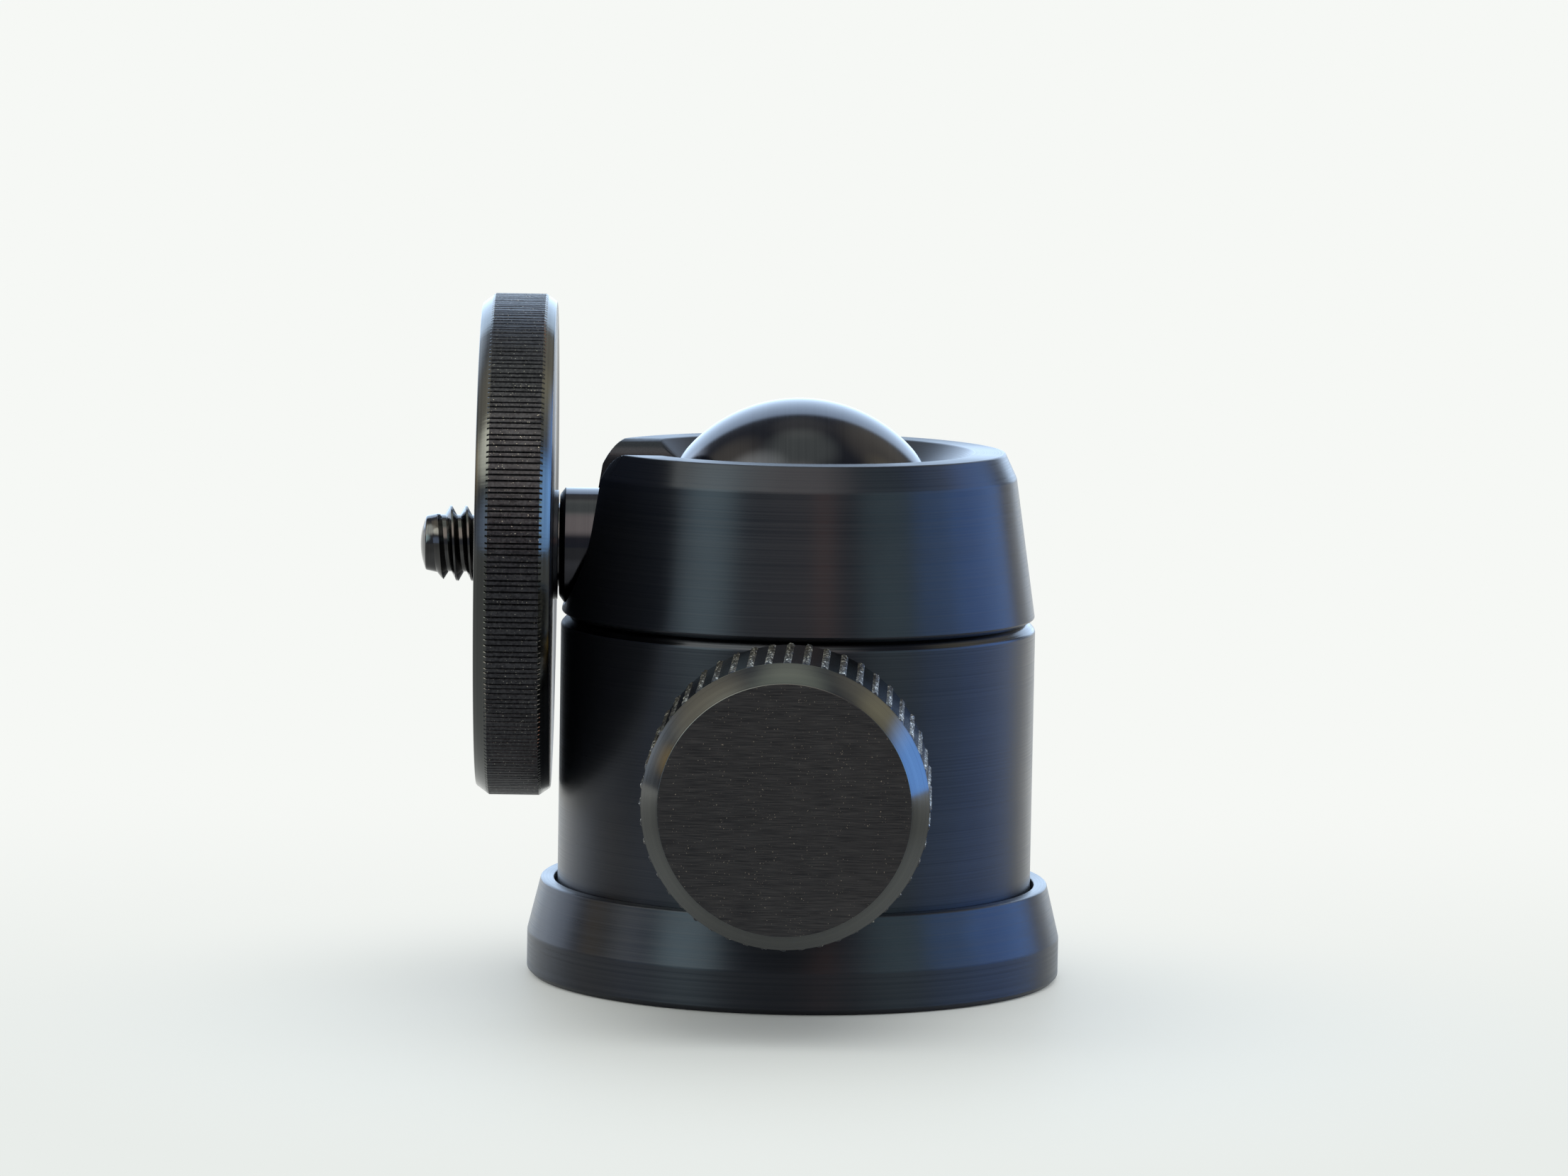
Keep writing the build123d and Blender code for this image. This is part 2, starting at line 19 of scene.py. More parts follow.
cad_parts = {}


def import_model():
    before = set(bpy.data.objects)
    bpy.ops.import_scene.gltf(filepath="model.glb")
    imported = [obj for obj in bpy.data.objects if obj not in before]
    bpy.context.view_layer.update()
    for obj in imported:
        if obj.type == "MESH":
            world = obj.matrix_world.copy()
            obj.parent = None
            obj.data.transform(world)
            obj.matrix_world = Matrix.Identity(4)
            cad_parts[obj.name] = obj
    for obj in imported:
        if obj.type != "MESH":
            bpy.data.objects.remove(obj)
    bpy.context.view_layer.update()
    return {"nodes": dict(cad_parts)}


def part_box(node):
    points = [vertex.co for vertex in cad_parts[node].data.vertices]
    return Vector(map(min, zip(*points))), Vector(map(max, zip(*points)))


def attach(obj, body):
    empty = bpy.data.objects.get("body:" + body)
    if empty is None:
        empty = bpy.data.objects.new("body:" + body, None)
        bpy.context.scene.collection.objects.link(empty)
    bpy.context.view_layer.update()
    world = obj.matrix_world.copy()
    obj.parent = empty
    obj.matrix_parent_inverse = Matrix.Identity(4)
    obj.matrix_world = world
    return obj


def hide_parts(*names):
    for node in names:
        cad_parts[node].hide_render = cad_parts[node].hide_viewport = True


Tree, Socket, Shape = bpy.types.NodeTree, bpy.types.NodeSocket, bmesh.types.BMesh

LOG = logging.getLogger("ball_head")
MM = 0.001
FULL_TURN = 2 * math.pi
MERGE = 1e-4  # millimetres within which two vertices are one
UP = Vector((0, 0, 1))
STEM_OUT = Vector((-1, 0, 0))  # where the stem points at rest

# Sockets of the Mix node when it mixes colours.
MIX_FACTOR, MIX_A, MIX_B, MIX_RESULT = 0, 6, 7, 2

# Spans of the noise, which seldom leaves 0.3 to 0.7, that a finish draws its tones, gloss and smudges over.
TONE_SPAN, GLOSS_SPAN, SMUDGE_SPAN = (0.35, 0.65), (0.3, 0.7), (0.35, 0.7)
SPECK_EDGE = 0.03  # how far above its level the noise makes a whole speck
SCRATCH_SHAPE = 25  # how many times as long as wide a scratch is
LINE_SHAPE = 4  # how many times as wide as deep a line is


# ---------------- small helpers
def srgb(code: str, level: float = 1.0) -> tuple[float, float, float, float]:
    """Turn an sRGB hex code into a linear colour.

    Args:
        code: Colour such as "#3a3a3e".
        level: Brightness that the colour is multiplied by.

    Returns:
        Linear red, green, blue and an alpha of 1.
    """
    channels = [int(code[start : start + 2], 16) / 255 for start in (1, 3, 5)]
    linear = [c / 12.92 if c <= 0.04045 else ((c + 0.055) / 1.055) ** 2.4 for c in channels]
    return linear[0] * level, linear[1] * level, linear[2] * level, 1.0


def add_node(
    tree: Tree,
    kind: str,
    settings: Mapping[str, object] | None = None,
    inputs: Mapping[int | str, object] | None = None,
) -> bpy.types.Node:
    """Add a node to a tree.

    Args:
        tree: Node tree of a material or the world.
        kind: Node type, such as "ShaderNodeMath".
        settings: Properties of the node, such as its operation.
        inputs: Value of each input socket, or the output socket linked to it.

    Returns:
        The new node.
    """
    node = tree.nodes.new(kind)
    for key, value in (settings or {}).items():
        setattr(node, key, value)
    for key, value in (inputs or {}).items():
        if isinstance(value, Socket):
            tree.links.new(value, node.inputs[key])
        else:
            node.inputs[key].default_value = value
    return node


def calculate(tree: Tree, operation: str, *values: object) -> Socket:
    """Add a Math node on some values and give its result."""
    return add_node(tree, "ShaderNodeMath", {"operation": operation}, dict(enumerate(values))).outputs[0]


def combine(tree: Tree, *values: object) -> Socket:
    """Make a vector of its components."""
    return add_node(tree, "ShaderNodeCombineXYZ", None, dict(enumerate(values))).outputs[0]


def vector_result(
    tree: Tree, operation: str, *vectors: object, result: str = "Vector", label: str = ""
) -> Socket:
    """Add a Vector Math node on some vectors and give the named result."""
    settings = {"operation": operation, "label": label}
    return add_node(tree, "ShaderNodeVectorMath", settings, dict(enumerate(vectors))).outputs[result]


def map_range(
    tree: Tree,
    value: object,
    source: tuple[float, float],
    target: tuple[object, object] = (0.0, 1.0),
    shape: str = "LINEAR",
) -> Socket:
    """Map a value from one range to another, clamped."""
    inputs = dict(enumerate((value, *source, *target)))
    return add_node(tree, "ShaderNodeMapRange", {"interpolation_type": shape}, inputs).outputs[0]


def mix_colours(tree: Tree, factor: object, first: object, second: object, blend: str = "MIX") -> Socket:
    """Blend the second colour into the first."""
    inputs = {MIX_FACTOR: factor, MIX_A: first, MIX_B: second}
    settings = {"data_type": "RGBA", "blend_type": blend}
    return add_node(tree, "ShaderNodeMix", settings, inputs).outputs[MIX_RESULT]


def empty_tree(owner: bpy.types.Material | bpy.types.World) -> Tree:
    """Give a material or a world a node tree without nodes."""
    owner.use_nodes = True
    owner.node_tree.nodes.clear()
    return owner.node_tree


def show(name: str, shape: Shape) -> bpy.types.Object:
    """Turn a shape into an object of the scene and free it."""
    mesh = bpy.data.meshes.new(name)
    shape.to_mesh(mesh)
    shape.free()
    holder = bpy.data.objects.new(name, mesh)
    bpy.context.scene.collection.objects.link(holder)
    return holder


class TurningAxis(NamedTuple):
    """The axis that a piece was turned on, in millimetres of the row frame."""

    centre: Vector
    direction: Vector

    def placement(self) -> Matrix:
        """Matrix that takes a shape turned round local Z, in millimetres, to its place in metres."""
        turn = UP.rotation_difference(self.direction).to_matrix().to_4x4()
        return Matrix.Translation(self.centre * MM) @ turn @ Matrix.Scale(MM, 4)


PAN_AXIS = TurningAxis(Vector((0, 0, 0)), UP)


class NodeBox(NamedTuple):
    """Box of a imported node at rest, in millimetres."""

    low: Vector
    high: Vector

    @classmethod
    def of(cls, node: str) -> NodeBox:
        """Box of the named node."""
        low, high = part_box(node)
        return cls(low / MM, high / MM)

    def centre(self) -> Vector:
        """Middle of the box."""
        return (self.low + self.high) / 2


# ---------------- finishes
class Grain(Enum):
    """Which way the finest lines of a finish run."""

    ROUND = "round the turning axis"
    LEVEL = "level across a flat face"
    NONE = "no direction"


@dataclass(frozen=True)
class Finish:
    """A surface finish: its colours, gloss, lines and dust.

    Lengths are millimetres. The line spacing is that of the tool's feed or the abrasive's scratches.
    """

    name: str
    dark: str
    light: str
    metallic: float = 1.0
    roughness: tuple[float, float] = (0.28, 0.38)
    anisotropy: float = 0.0
    grain: Grain = Grain.NONE
    line_spacing: float = 0.14
    band_spacing: float = 1.6
    band_share: float = 0.25
    line_bump: float = 0.12
    smudge_size: float = 7.0
    smudge: float = 0.06
    dust: str = "#8f8c84"
    dust_size: float = 0.26
    dust_level: float = 0.86
    ior: float = 1.5

    def material(self, axis: TurningAxis, piece: str) -> bpy.types.Material:
        """Make the finish's material for a piece.

        Args:
            axis: Axis that the piece was turned on, which its lines run round.
            piece: Name of the piece, which ends the material's name.

        Returns:
            The material.
        """
        material = bpy.data.materials.new(f"{self.name}_{piece}")
        tree = empty_tree(material)
        place = add_node(tree, "ShaderNodeTexCoord").outputs["Object"]
        around, lines = self._line_vectors(tree, place, axis)
        fine = self._noise(tree, lines, self.line_spacing, detail=2.0)
        bands = self._noise(tree, lines, self.band_spacing, detail=1.0)
        smudges = self._noise(tree, place, self.smudge_size, detail=3.0)
        specks = self._noise(tree, place, self.dust_size, detail=1.0)
        wide = calculate(tree, "MULTIPLY", bands, self.band_share)
        tone = calculate(tree, "MULTIPLY_ADD", fine, 1 - self.band_share, wide)
        colour = mix_colours(tree, map_range(tree, tone, TONE_SPAN), srgb(self.dark), srgb(self.light))
        speck = map_range(tree, specks, (self.dust_level, self.dust_level + SPECK_EDGE))
        gloss = map_range(tree, fine, GLOSS_SPAN, self.roughness)
        smudged = map_range(tree, smudges, SMUDGE_SPAN, (0.0, self.smudge))
        depth = self.line_spacing * MM / LINE_SHAPE
        bump_inputs = {"Strength": self.line_bump, "Distance": depth, "Height": fine}
        sockets: dict[int | str, object] = {
            "Base Color": mix_colours(tree, speck, colour, srgb(self.dust)),
            "Metallic": self.metallic,
            "Roughness": calculate(tree, "ADD", gloss, smudged),
            "Normal": add_node(tree, "ShaderNodeBump", None, bump_inputs).outputs[0],
            "IOR": self.ior,
        }
        if self.anisotropy > 0:
            # The lines run along the tangent, and a quarter turn spreads the highlight across them.
            sockets |= {"Anisotropic": self.anisotropy, "Anisotropic Rotation": 0.25, "Tangent": around}
        shader = add_node(tree, "ShaderNodeBsdfPrincipled", None, sockets)
        add_node(tree, "ShaderNodeOutputMaterial", None, {"Surface": shader.outputs[0]})
        return material

    def _line_vectors(self, tree: Tree, place: Socket, axis: TurningAxis) -> tuple[Socket, Socket]:
        """Direction that the lines run in, and coordinates that stay the same along one line."""
        offset = vector_result(tree, "SUBTRACT", place, axis.centre * MM)
        if self.grain is Grain.LEVEL:
            across = UP.cross(axis.direction).normalized()
            along = vector_result(tree, "DOT_PRODUCT", offset, across, result="Value")
            height = vector_result(tree, "DOT_PRODUCT", offset, UP, result="Value")
            lines = combine(tree, calculate(tree, "MULTIPLY", along, 1 / SCRATCH_SHAPE), height)
            around = combine(tree, *across)
        else:
            around = vector_result(tree, "CROSS_PRODUCT", axis.direction, offset)
            along = vector_result(tree, "DOT_PRODUCT", offset, axis.direction, result="Value")
            lines = combine(tree, along, vector_result(tree, "LENGTH", around, result="Value"))
        to_world = {"vector_type": "VECTOR", "convert_from": "OBJECT", "convert_to": "WORLD"}
        around = add_node(tree, "ShaderNodeVectorTransform", to_world, {0: around}).outputs[0]
        return around, (place if self.grain is Grain.NONE else lines)

    @staticmethod
    def _noise(tree: Tree, vector: Socket, size: float, detail: float) -> Socket:
        """Noise whose blobs are about size millimetres wide."""
        inputs = {"Vector": vector, "Scale": 1 / (size * MM), "Detail": detail}
        return add_node(tree, "ShaderNodeTexNoise", None, inputs).outputs["Fac"]


# Black anodised aluminium as turned: a dyed oxide skin over fine feed lines, so its highlights stretch along
# the piece and fade round it, and part of it is dull dye. The feed is finer than a pixel and is drawn 0.14 mm
# wide so that it shows.
TURNED = Finish(
    "anodised_aluminium_turned", "#292c33", "#32343a", metallic=0.7, roughness=(0.27, 0.35), anisotropy=0.8,
    grain=Grain.ROUND, band_share=0.15, dust="#77746c",
)
# The same skin on a wide bevel cut with a finishing tool: smooth, with sharper reflections. Its colours are
# several times as bright as the turned walls', a painted highlight that brightens what it mirrors.
BEVEL = Finish(
    "anodised_aluminium_fine_turned", "#545555", "#60615f", roughness=(0.13, 0.19), anisotropy=0.6,
    grain=Grain.ROUND, line_bump=0.05, smudge=0.03,
)
# Black anodised aluminium polished before anodising: the ball.
POLISHED = Finish(
    "anodised_aluminium_polished", "#3a3a3f", "#404045", roughness=(0.1, 0.13), anisotropy=0.3,
    grain=Grain.ROUND, line_bump=0.02, smudge=0.03,
)
# Straight knurl pressed into the rim and anodised: duller, with bright specks where the dye is thin.
KNURLED = Finish(
    "anodised_aluminium_knurled", "#26262a", "#434347", metallic=0.8, roughness=(0.28, 0.44), line_bump=0.3,
    line_spacing=0.22, dust="#a5a298", dust_size=0.14, dust_level=0.71,
)
# The lands between the knob's burrs, left by the pressing wheel, and the cone in the collar's groove: smooth,
# so they mirror what is beside them.
LAND = Finish(
    "anodised_aluminium_pressed", "#2e2f33", "#3a3b40", roughness=(0.14, 0.22), anisotropy=0.2,
    grain=Grain.ROUND, line_bump=0.08,
)
# Torn burrs on the knob's knurl: crumbled metal with a thin dye, rough and glinting.
BURR = Finish(
    "anodised_aluminium_burr", "#0e0e10", "#77736a", roughness=(0.35, 0.6), line_bump=1.0,
    line_spacing=0.2, band_spacing=0.34, smudge=0.0, dust="#f0ede2", dust_size=0.24, dust_level=0.6,
)
# Brushed before anodising: level scratches and specks of bare metal on the knob's face.
BRUSHED = Finish(
    "anodised_aluminium_brushed", "#333437", "#464749", roughness=(0.34, 0.46), anisotropy=0.7,
    grain=Grain.LEVEL, line_spacing=0.08, band_spacing=0.4, line_bump=0.35, dust="#8d887e",
    dust_size=0.13, dust_level=0.73,
)
# Steel blacked in hot oxide: near black, satin, a little brown in the light.
BLACK_STEEL = Finish(
    "black_oxide_steel", "#3f4044", "#5d5d5c", roughness=(0.16, 0.28), anisotropy=0.4, grain=Grain.ROUND,
    line_spacing=0.2, line_bump=0.1,
)
# The camera stud's steel, rolled smooth before it was blacked: glossy, with crisp highlights.
STUD_STEEL = Finish(
    "black_oxide_steel_rolled", "#454548", "#5c5b59", roughness=(0.08, 0.14), anisotropy=0.2,
    grain=Grain.ROUND, line_spacing=0.2, line_bump=0.04, smudge=0.04,
)
# Bare ground steel: bright, with fine rings from the wheel.
BRIGHT_STEEL = Finish(
    "bright_ground_steel", "#a3a4a6", "#c0c0c1", roughness=(0.2, 0.32), anisotropy=0.4, grain=Grain.ROUND,
    line_spacing=0.2, line_bump=0.15, dust="#7f7d79",
)
# Free-cutting brass, turned and handled: warm yellow with duller smudges.
BRASS = Finish(
    "free_cutting_brass", "#b08d4e", "#c9a765", roughness=(0.22, 0.36), anisotropy=0.4, grain=Grain.ROUND,
    line_spacing=0.2, line_bump=0.15, dust="#8a6d3a",
)
# Aluminium as machined, not anodised, inside the housing.
MACHINED = Finish(
    "machined_aluminium", "#9b9da0", "#b9babc", roughness=(0.28, 0.42), anisotropy=0.6, grain=Grain.ROUND,
    line_spacing=0.25, line_bump=0.2, dust="#7d7d7b",
)
# Black acetal: a waxy moulding resin, turned to size, with no metal in it.
ACETAL = Finish(
    "black_acetal", "#121214", "#1c1c1e", metallic=0.0, roughness=(0.4, 0.5), grain=Grain.ROUND,
    line_spacing=0.3, line_bump=0.15, smudge_size=4.0, ior=1.48,
)


# ---------------- turned shapes
class Corner(NamedTuple):
    """Corner of a turned section: radius, place along the axis, and how far its rounding reaches."""

    radius: float
    height: float
    rounding: float = 0.0


def round_off(
    shape: Shape,
    kind: str,
    parts: Iterable[bmesh.types.BMVert | bmesh.types.BMEdge],
    reach: float,
    segments: int,
    clamp: bool = False,
) -> None:
    """Round off the vertices or the edges of a shape.

    Args:
        shape: Shape that the parts belong to.
        kind: "VERTICES" or "EDGES".
        parts: The parts to round.
        reach: How far from each part its rounding begins.
        segments: Number of flats in a rounding.
        clamp: Whether roundings that would meet are held back.
    """
    bmesh.ops.bevel(
        shape, geom=list(parts), offset=reach, offset_type="OFFSET", affect=kind, segments=segments,
        profile=0.5, material=-1, clamp_overlap=clamp,
    )


@dataclass
class TurnedShape:
    """A section spun round the local Z axis, in millimetres."""

    corners: Sequence[Corner]
    steps: int = 256
    closed: bool = True
    segments: int = 3
    sectors: int = 8

    def spin(self) -> Shape:
        """Round the section's corners and spin it.

        Returns:
            A closed mesh with its faces pointing outwards.
        """
        shape = bmesh.new()
        verts = [shape.verts.new((corner.radius, 0, corner.height)) for corner in self.corners]
        pairs = list(zip(verts, verts[1:]))
        if self.closed:
            pairs.append((verts[-1], verts[0]))
        for pair in pairs:
            shape.edges.new(pair)
        for reach in sorted({corner.rounding for corner in self.corners if corner.rounding > 0}):
            rounded = [vert for vert, corner in zip(verts, self.corners) if corner.rounding == reach]
            round_off(shape, "VERTICES", rounded, reach, self.segments, clamp=True)
        # One sector is spun and then repeated round the axis, which is much quicker than a single long spin.
        sector = FULL_TURN / self.sectors
        bmesh.ops.spin(
            shape, geom=shape.verts[:] + shape.edges[:], cent=(0, 0, 0), axis=(0, 0, 1), angle=sector,
            steps=self.steps // self.sectors, use_merge=False,
        )
        bmesh.ops.spin(
            shape, geom=shape.verts[:] + shape.edges[:] + shape.faces[:], cent=(0, 0, 0), axis=(0, 0, 1),
            angle=FULL_TURN - sector, steps=self.sectors - 1, use_merge=False, use_duplicate=True,
        )
        bmesh.ops.remove_doubles(shape, verts=shape.verts, dist=MERGE)
        bmesh.ops.recalc_face_normals(shape, faces=shape.faces)
        return shape


@dataclass
class ThreadRidge:
    """A helical ridge with a 60 degree form and a flat crest, wound round the local Z axis."""

    root_r: float
    crest_r: float
    pitch: float
    start: float
    end: float
    steps_per_turn: int = 32
    flank_deg: float = 30.0
    crest_share: float = 0.125  # of the pitch
    foot_share: float = 0.98  # of the pitch
    overlap: float = 0.05

    def add_to(self, shape: Shape) -> None:
        """Wind the ridge into a shape as a closed shell that overlaps the wall it stands on."""
        crest_half = self.crest_share * self.pitch / 2
        rise = abs(self.crest_r - self.root_r)
        slope = math.tan(math.radians(self.flank_deg))
        # The feet of neighbouring turns stay just apart.
        root_half = min(crest_half + rise * slope, self.foot_share * self.pitch / 2)
        sunk = self.root_r + math.copysign(self.overlap, self.root_r - self.crest_r)
        section = [
            (sunk, -root_half), (self.crest_r, -crest_half), (self.crest_r, crest_half), (sunk, root_half)
        ]
        ridge = bmesh.new()
        verts = [ridge.verts.new((radius, 0, self.start + height)) for radius, height in section]
        for first, second in zip(verts, verts[1:] + verts[:1]):
            ridge.edges.new((first, second))
        steps = round((self.end - self.start) / self.pitch * self.steps_per_turn)
        bmesh.ops.spin(
            ridge, geom=ridge.verts[:] + ridge.edges[:], cent=(0, 0, 0), axis=(0, 0, 1),
            dvec=(0, 0, self.pitch / self.steps_per_turn), angle=FULL_TURN * steps / self.steps_per_turn,
            steps=steps, use_merge=False,
        )
        bmesh.ops.holes_fill(ridge, edges=ridge.edges, sides=4)
        bmesh.ops.recalc_face_normals(ridge, faces=ridge.faces)
        merge_into(shape, ridge)


def merge_into(shape: Shape, other: Shape) -> None:
    """Copy another mesh into a shape and free it."""
    carrier = bpy.data.meshes.new("carrier")
    other.to_mesh(carrier)
    other.free()
    shape.from_mesh(carrier)
    bpy.data.meshes.remove(carrier)


def press_knurl(
    shape: Shape, inside: Callable[[float, float], bool], lift: Callable[[float, float], float]
) -> None:
    """Move the rim of a turned shape in or out to form a knurl.

    Args:
        shape: Turned shape round the local Z axis.
        inside: Tells from a vertex's radius and height whether it is on the knurl.
        lift: Gives the change of radius from a vertex's share of a turn and its height.
    """
    for vert in shape.verts:
        radius = math.hypot(vert.co.x, vert.co.y)
        if inside(radius, vert.co.z):
            share = math.atan2(vert.co.y, vert.co.x) / FULL_TURN % 1
            factor = (radius + lift(share, vert.co.z)) / radius
            vert.co.x *= factor
            vert.co.y *= factor


def spaced(first: float, last: float, count: int) -> Iterable[float]:
    """Even places from first to last, both included."""
    return (first + (last - first) * number / count for number in range(count + 1))


def ring_groove(middle: float, half: float, face: float, bottom: float, rounding: float) -> list[Corner]:
    """Corners of a shallow ring groove in a flat face: outwards, or inwards if half is negative."""
    return [
        Corner(middle - half, face, rounding),
        Corner(middle - half / 2, bottom),
        Corner(middle + half / 2, bottom),
        Corner(middle + half, face, rounding),
    ]


def face_reach(face: bmesh.types.BMFace) -> tuple[float, Vector]:
    """How far from the local Z axis the middle of a face is, and that middle."""
    middle = face.calc_center_median()
    return math.hypot(middle.x, middle.y), middle


@dataclass
class Piece:
    """A finished mesh on its way to becoming an object of the scene."""

    name: str
    body: str
    slot: str
    finishes: Sequence[Finish]
    replaces: Sequence[str]
    sharp_deg: float = 32.0

    def place(self, shape: Shape, axis: TurningAxis) -> bpy.types.Object:
        """Put the shape in its place, give it its finishes and hand it to its body.

        Args:
            shape: Mesh in millimetres round the local Z axis, with its faces numbered by finish; it is freed.
            axis: Axis that the piece was turned on.

        Returns:
            The object, at the origin and unturned.
        """
        bmesh.ops.transform(shape, matrix=axis.placement(), verts=shape.verts)
        piece = show(self.name, shape)
        mesh = piece.data
        for finish in self.finishes:
            mesh.materials.append(finish.material(axis, self.name))
        mesh.shade_smooth()
        mesh.set_sharp_from_angle(angle=math.radians(self.sharp_deg))
        # Large faces keep their own direction, so that the small roundings don't shade the walls beside them.
        normals = piece.modifiers.new("even_shading", "WEIGHTED_NORMAL")
        normals.keep_sharp = True
        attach(piece, self.body)
        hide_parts(*self.replaces)
        LOG.info("%s: %d faces on body %s", self.name, len(mesh.polygons), self.body)
        return piece


@dataclass
class Cut:
    """Boolean cuts made in a shape before it is placed. Vertices closer than a speck are one."""

    tools: list[Shape]
    edge_rounding: float = 0.14
    edge_angle_deg: float = 40.0
    speck: float = 0.02

    def apply(self, shape: Shape, round_edges: Callable[[bmesh.types.BMEdge], bool] | None = None) -> Shape:
        """Subtract the tools from the shape and round the edges that they leave.

        Args:
            shape: Shape to cut; it is freed.
            round_edges: Picks the edges to round from those that turn sharply, if any are to be rounded.

        Returns:
            The cut shape.
        """
        blank = show("blank", shape)
        tools = [show(f"tool_{number}", tool) for number, tool in enumerate(self.tools)]
        for tool in tools:
            cut = blank.modifiers.new("cut", "BOOLEAN")
            cut.operation = "DIFFERENCE"
            cut.solver = "EXACT"
            cut.object = tool
        graph = bpy.context.evaluated_depsgraph_get()
        result = bmesh.new()
        result.from_mesh(blank.evaluated_get(graph).to_mesh())
        for used in [blank, *tools]:
            mesh = used.data
            bpy.data.objects.remove(used)
            bpy.data.meshes.remove(mesh)
        bmesh.ops.remove_doubles(result, verts=result.verts, dist=self.speck)
        bmesh.ops.dissolve_degenerate(result, edges=result.edges, dist=self.speck)
        if round_edges is not None:
            sharp = math.radians(self.edge_angle_deg)
            turned = [
                edge for edge in result.edges
                if len(edge.link_faces) == 2 and edge.calc_face_angle(0) > sharp and round_edges(edge)
            ]
            round_off(result, "EDGES", turned, self.edge_rounding, segments=2)
        bmesh.ops.recalc_face_normals(result, faces=result.faces)
        return result


def drill(
    radius: float, start: Vector, direction: Vector, length: float, mouth: float, mouth_at: float
) -> Shape:
    """Make the tool that drills a round hole with a countersunk mouth.

    Args:
        radius: Radius of the hole.
        start: Where the drill begins.
        direction: Where it goes, of unit length.
        length: How far it goes.
        mouth: How much the countersink widens the hole.
        mouth_at: Distance along the drill at which the widened end is reached.

    Returns:
        The tool as a closed mesh.
    """
    corners = [
        Corner(0, 0),
        Corner(radius, 0),
        Corner(radius, mouth_at - mouth),
        Corner(radius + mouth, mouth_at),
        Corner(radius + mouth, length),
        Corner(0, length),
    ]
    tool = TurnedShape(corners, steps=48, closed=False).spin()
    turn = UP.rotation_difference(direction).to_matrix().to_4x4()
    bmesh.ops.transform(tool, matrix=Matrix.Translation(start) @ turn, verts=tool.verts)
    return tool


# ---------------- sub-assemblies

@dataclass
class TripodBase:
    """The flared base ring with its pivot hub and its tripod thread."""

    band_h: float = 3.5
    foot_chamfer: float = 0.4
    wall_top: float = 1.1
    skirt_r: float = 20.3
    floor: float = 2.6
    ring_h: float = 8.0
    hub_r: float = 9.5
    hub_h: float = 7.2
    spigot_r: float = 5.8
    thread_major_r: float = 4.7625
    thread_minor_r: float = 3.97
    thread_pitch: float = 1.5875
    thread_inset: float = 0.2
    hole_depth: float = 8.0
    countersink: float = 0.6
    ring_groove_r: tuple[float, ...] = (12.0, 15.0, 18.0)
    ring_groove_w: float = 0.5
    ring_groove_depth: float = 0.2

    def build(self) -> list[bpy.types.Object]:
        """Build the base and dress it."""
        box = NodeBox.of("base_plate")
        foot_r, top = box.high.x, box.high.z
        mouth_r = self.thread_major_r + self.countersink
        corners = [
            Corner(0, self.hole_depth),
            Corner(self.thread_major_r, self.hole_depth),
            Corner(self.thread_major_r, self.countersink),
            Corner(mouth_r, 0, 0.08),
        ]
        for middle in self.ring_groove_r:
            corners += ring_groove(middle, self.ring_groove_w / 2, 0, self.ring_groove_depth, 0.06)
        corners += [
            Corner(foot_r - self.foot_chamfer, 0, 0.08),
            Corner(foot_r, self.foot_chamfer, 0.1),
            Corner(foot_r, self.band_h, 0.12),
            Corner(self.skirt_r + self.wall_top, self.ring_h, 0.14),
            Corner(self.skirt_r, self.ring_h, 0.14),
            Corner(self.skirt_r, self.floor, 0.3),
            Corner(self.hub_r, self.floor, 0.3),
            Corner(self.hub_r, self.hub_h, 0.2),
            Corner(self.spigot_r, self.hub_h),
            Corner(self.spigot_r, top, 0.2),
            Corner(0, top),
        ]
        shape = TurnedShape(corners, steps=288, closed=False).spin()
        half_turn = self.thread_pitch / 2
        ridge = (self.thread_major_r, self.thread_minor_r, self.thread_pitch)
        ThreadRidge(*ridge, half_turn + self.thread_inset, self.hole_depth - half_turn).add_to(shape)
        piece = Piece("base_ring", "base", "anodised_turned", [TURNED], ["base_plate"])
        return [piece.place(shape, PAN_AXIS)]


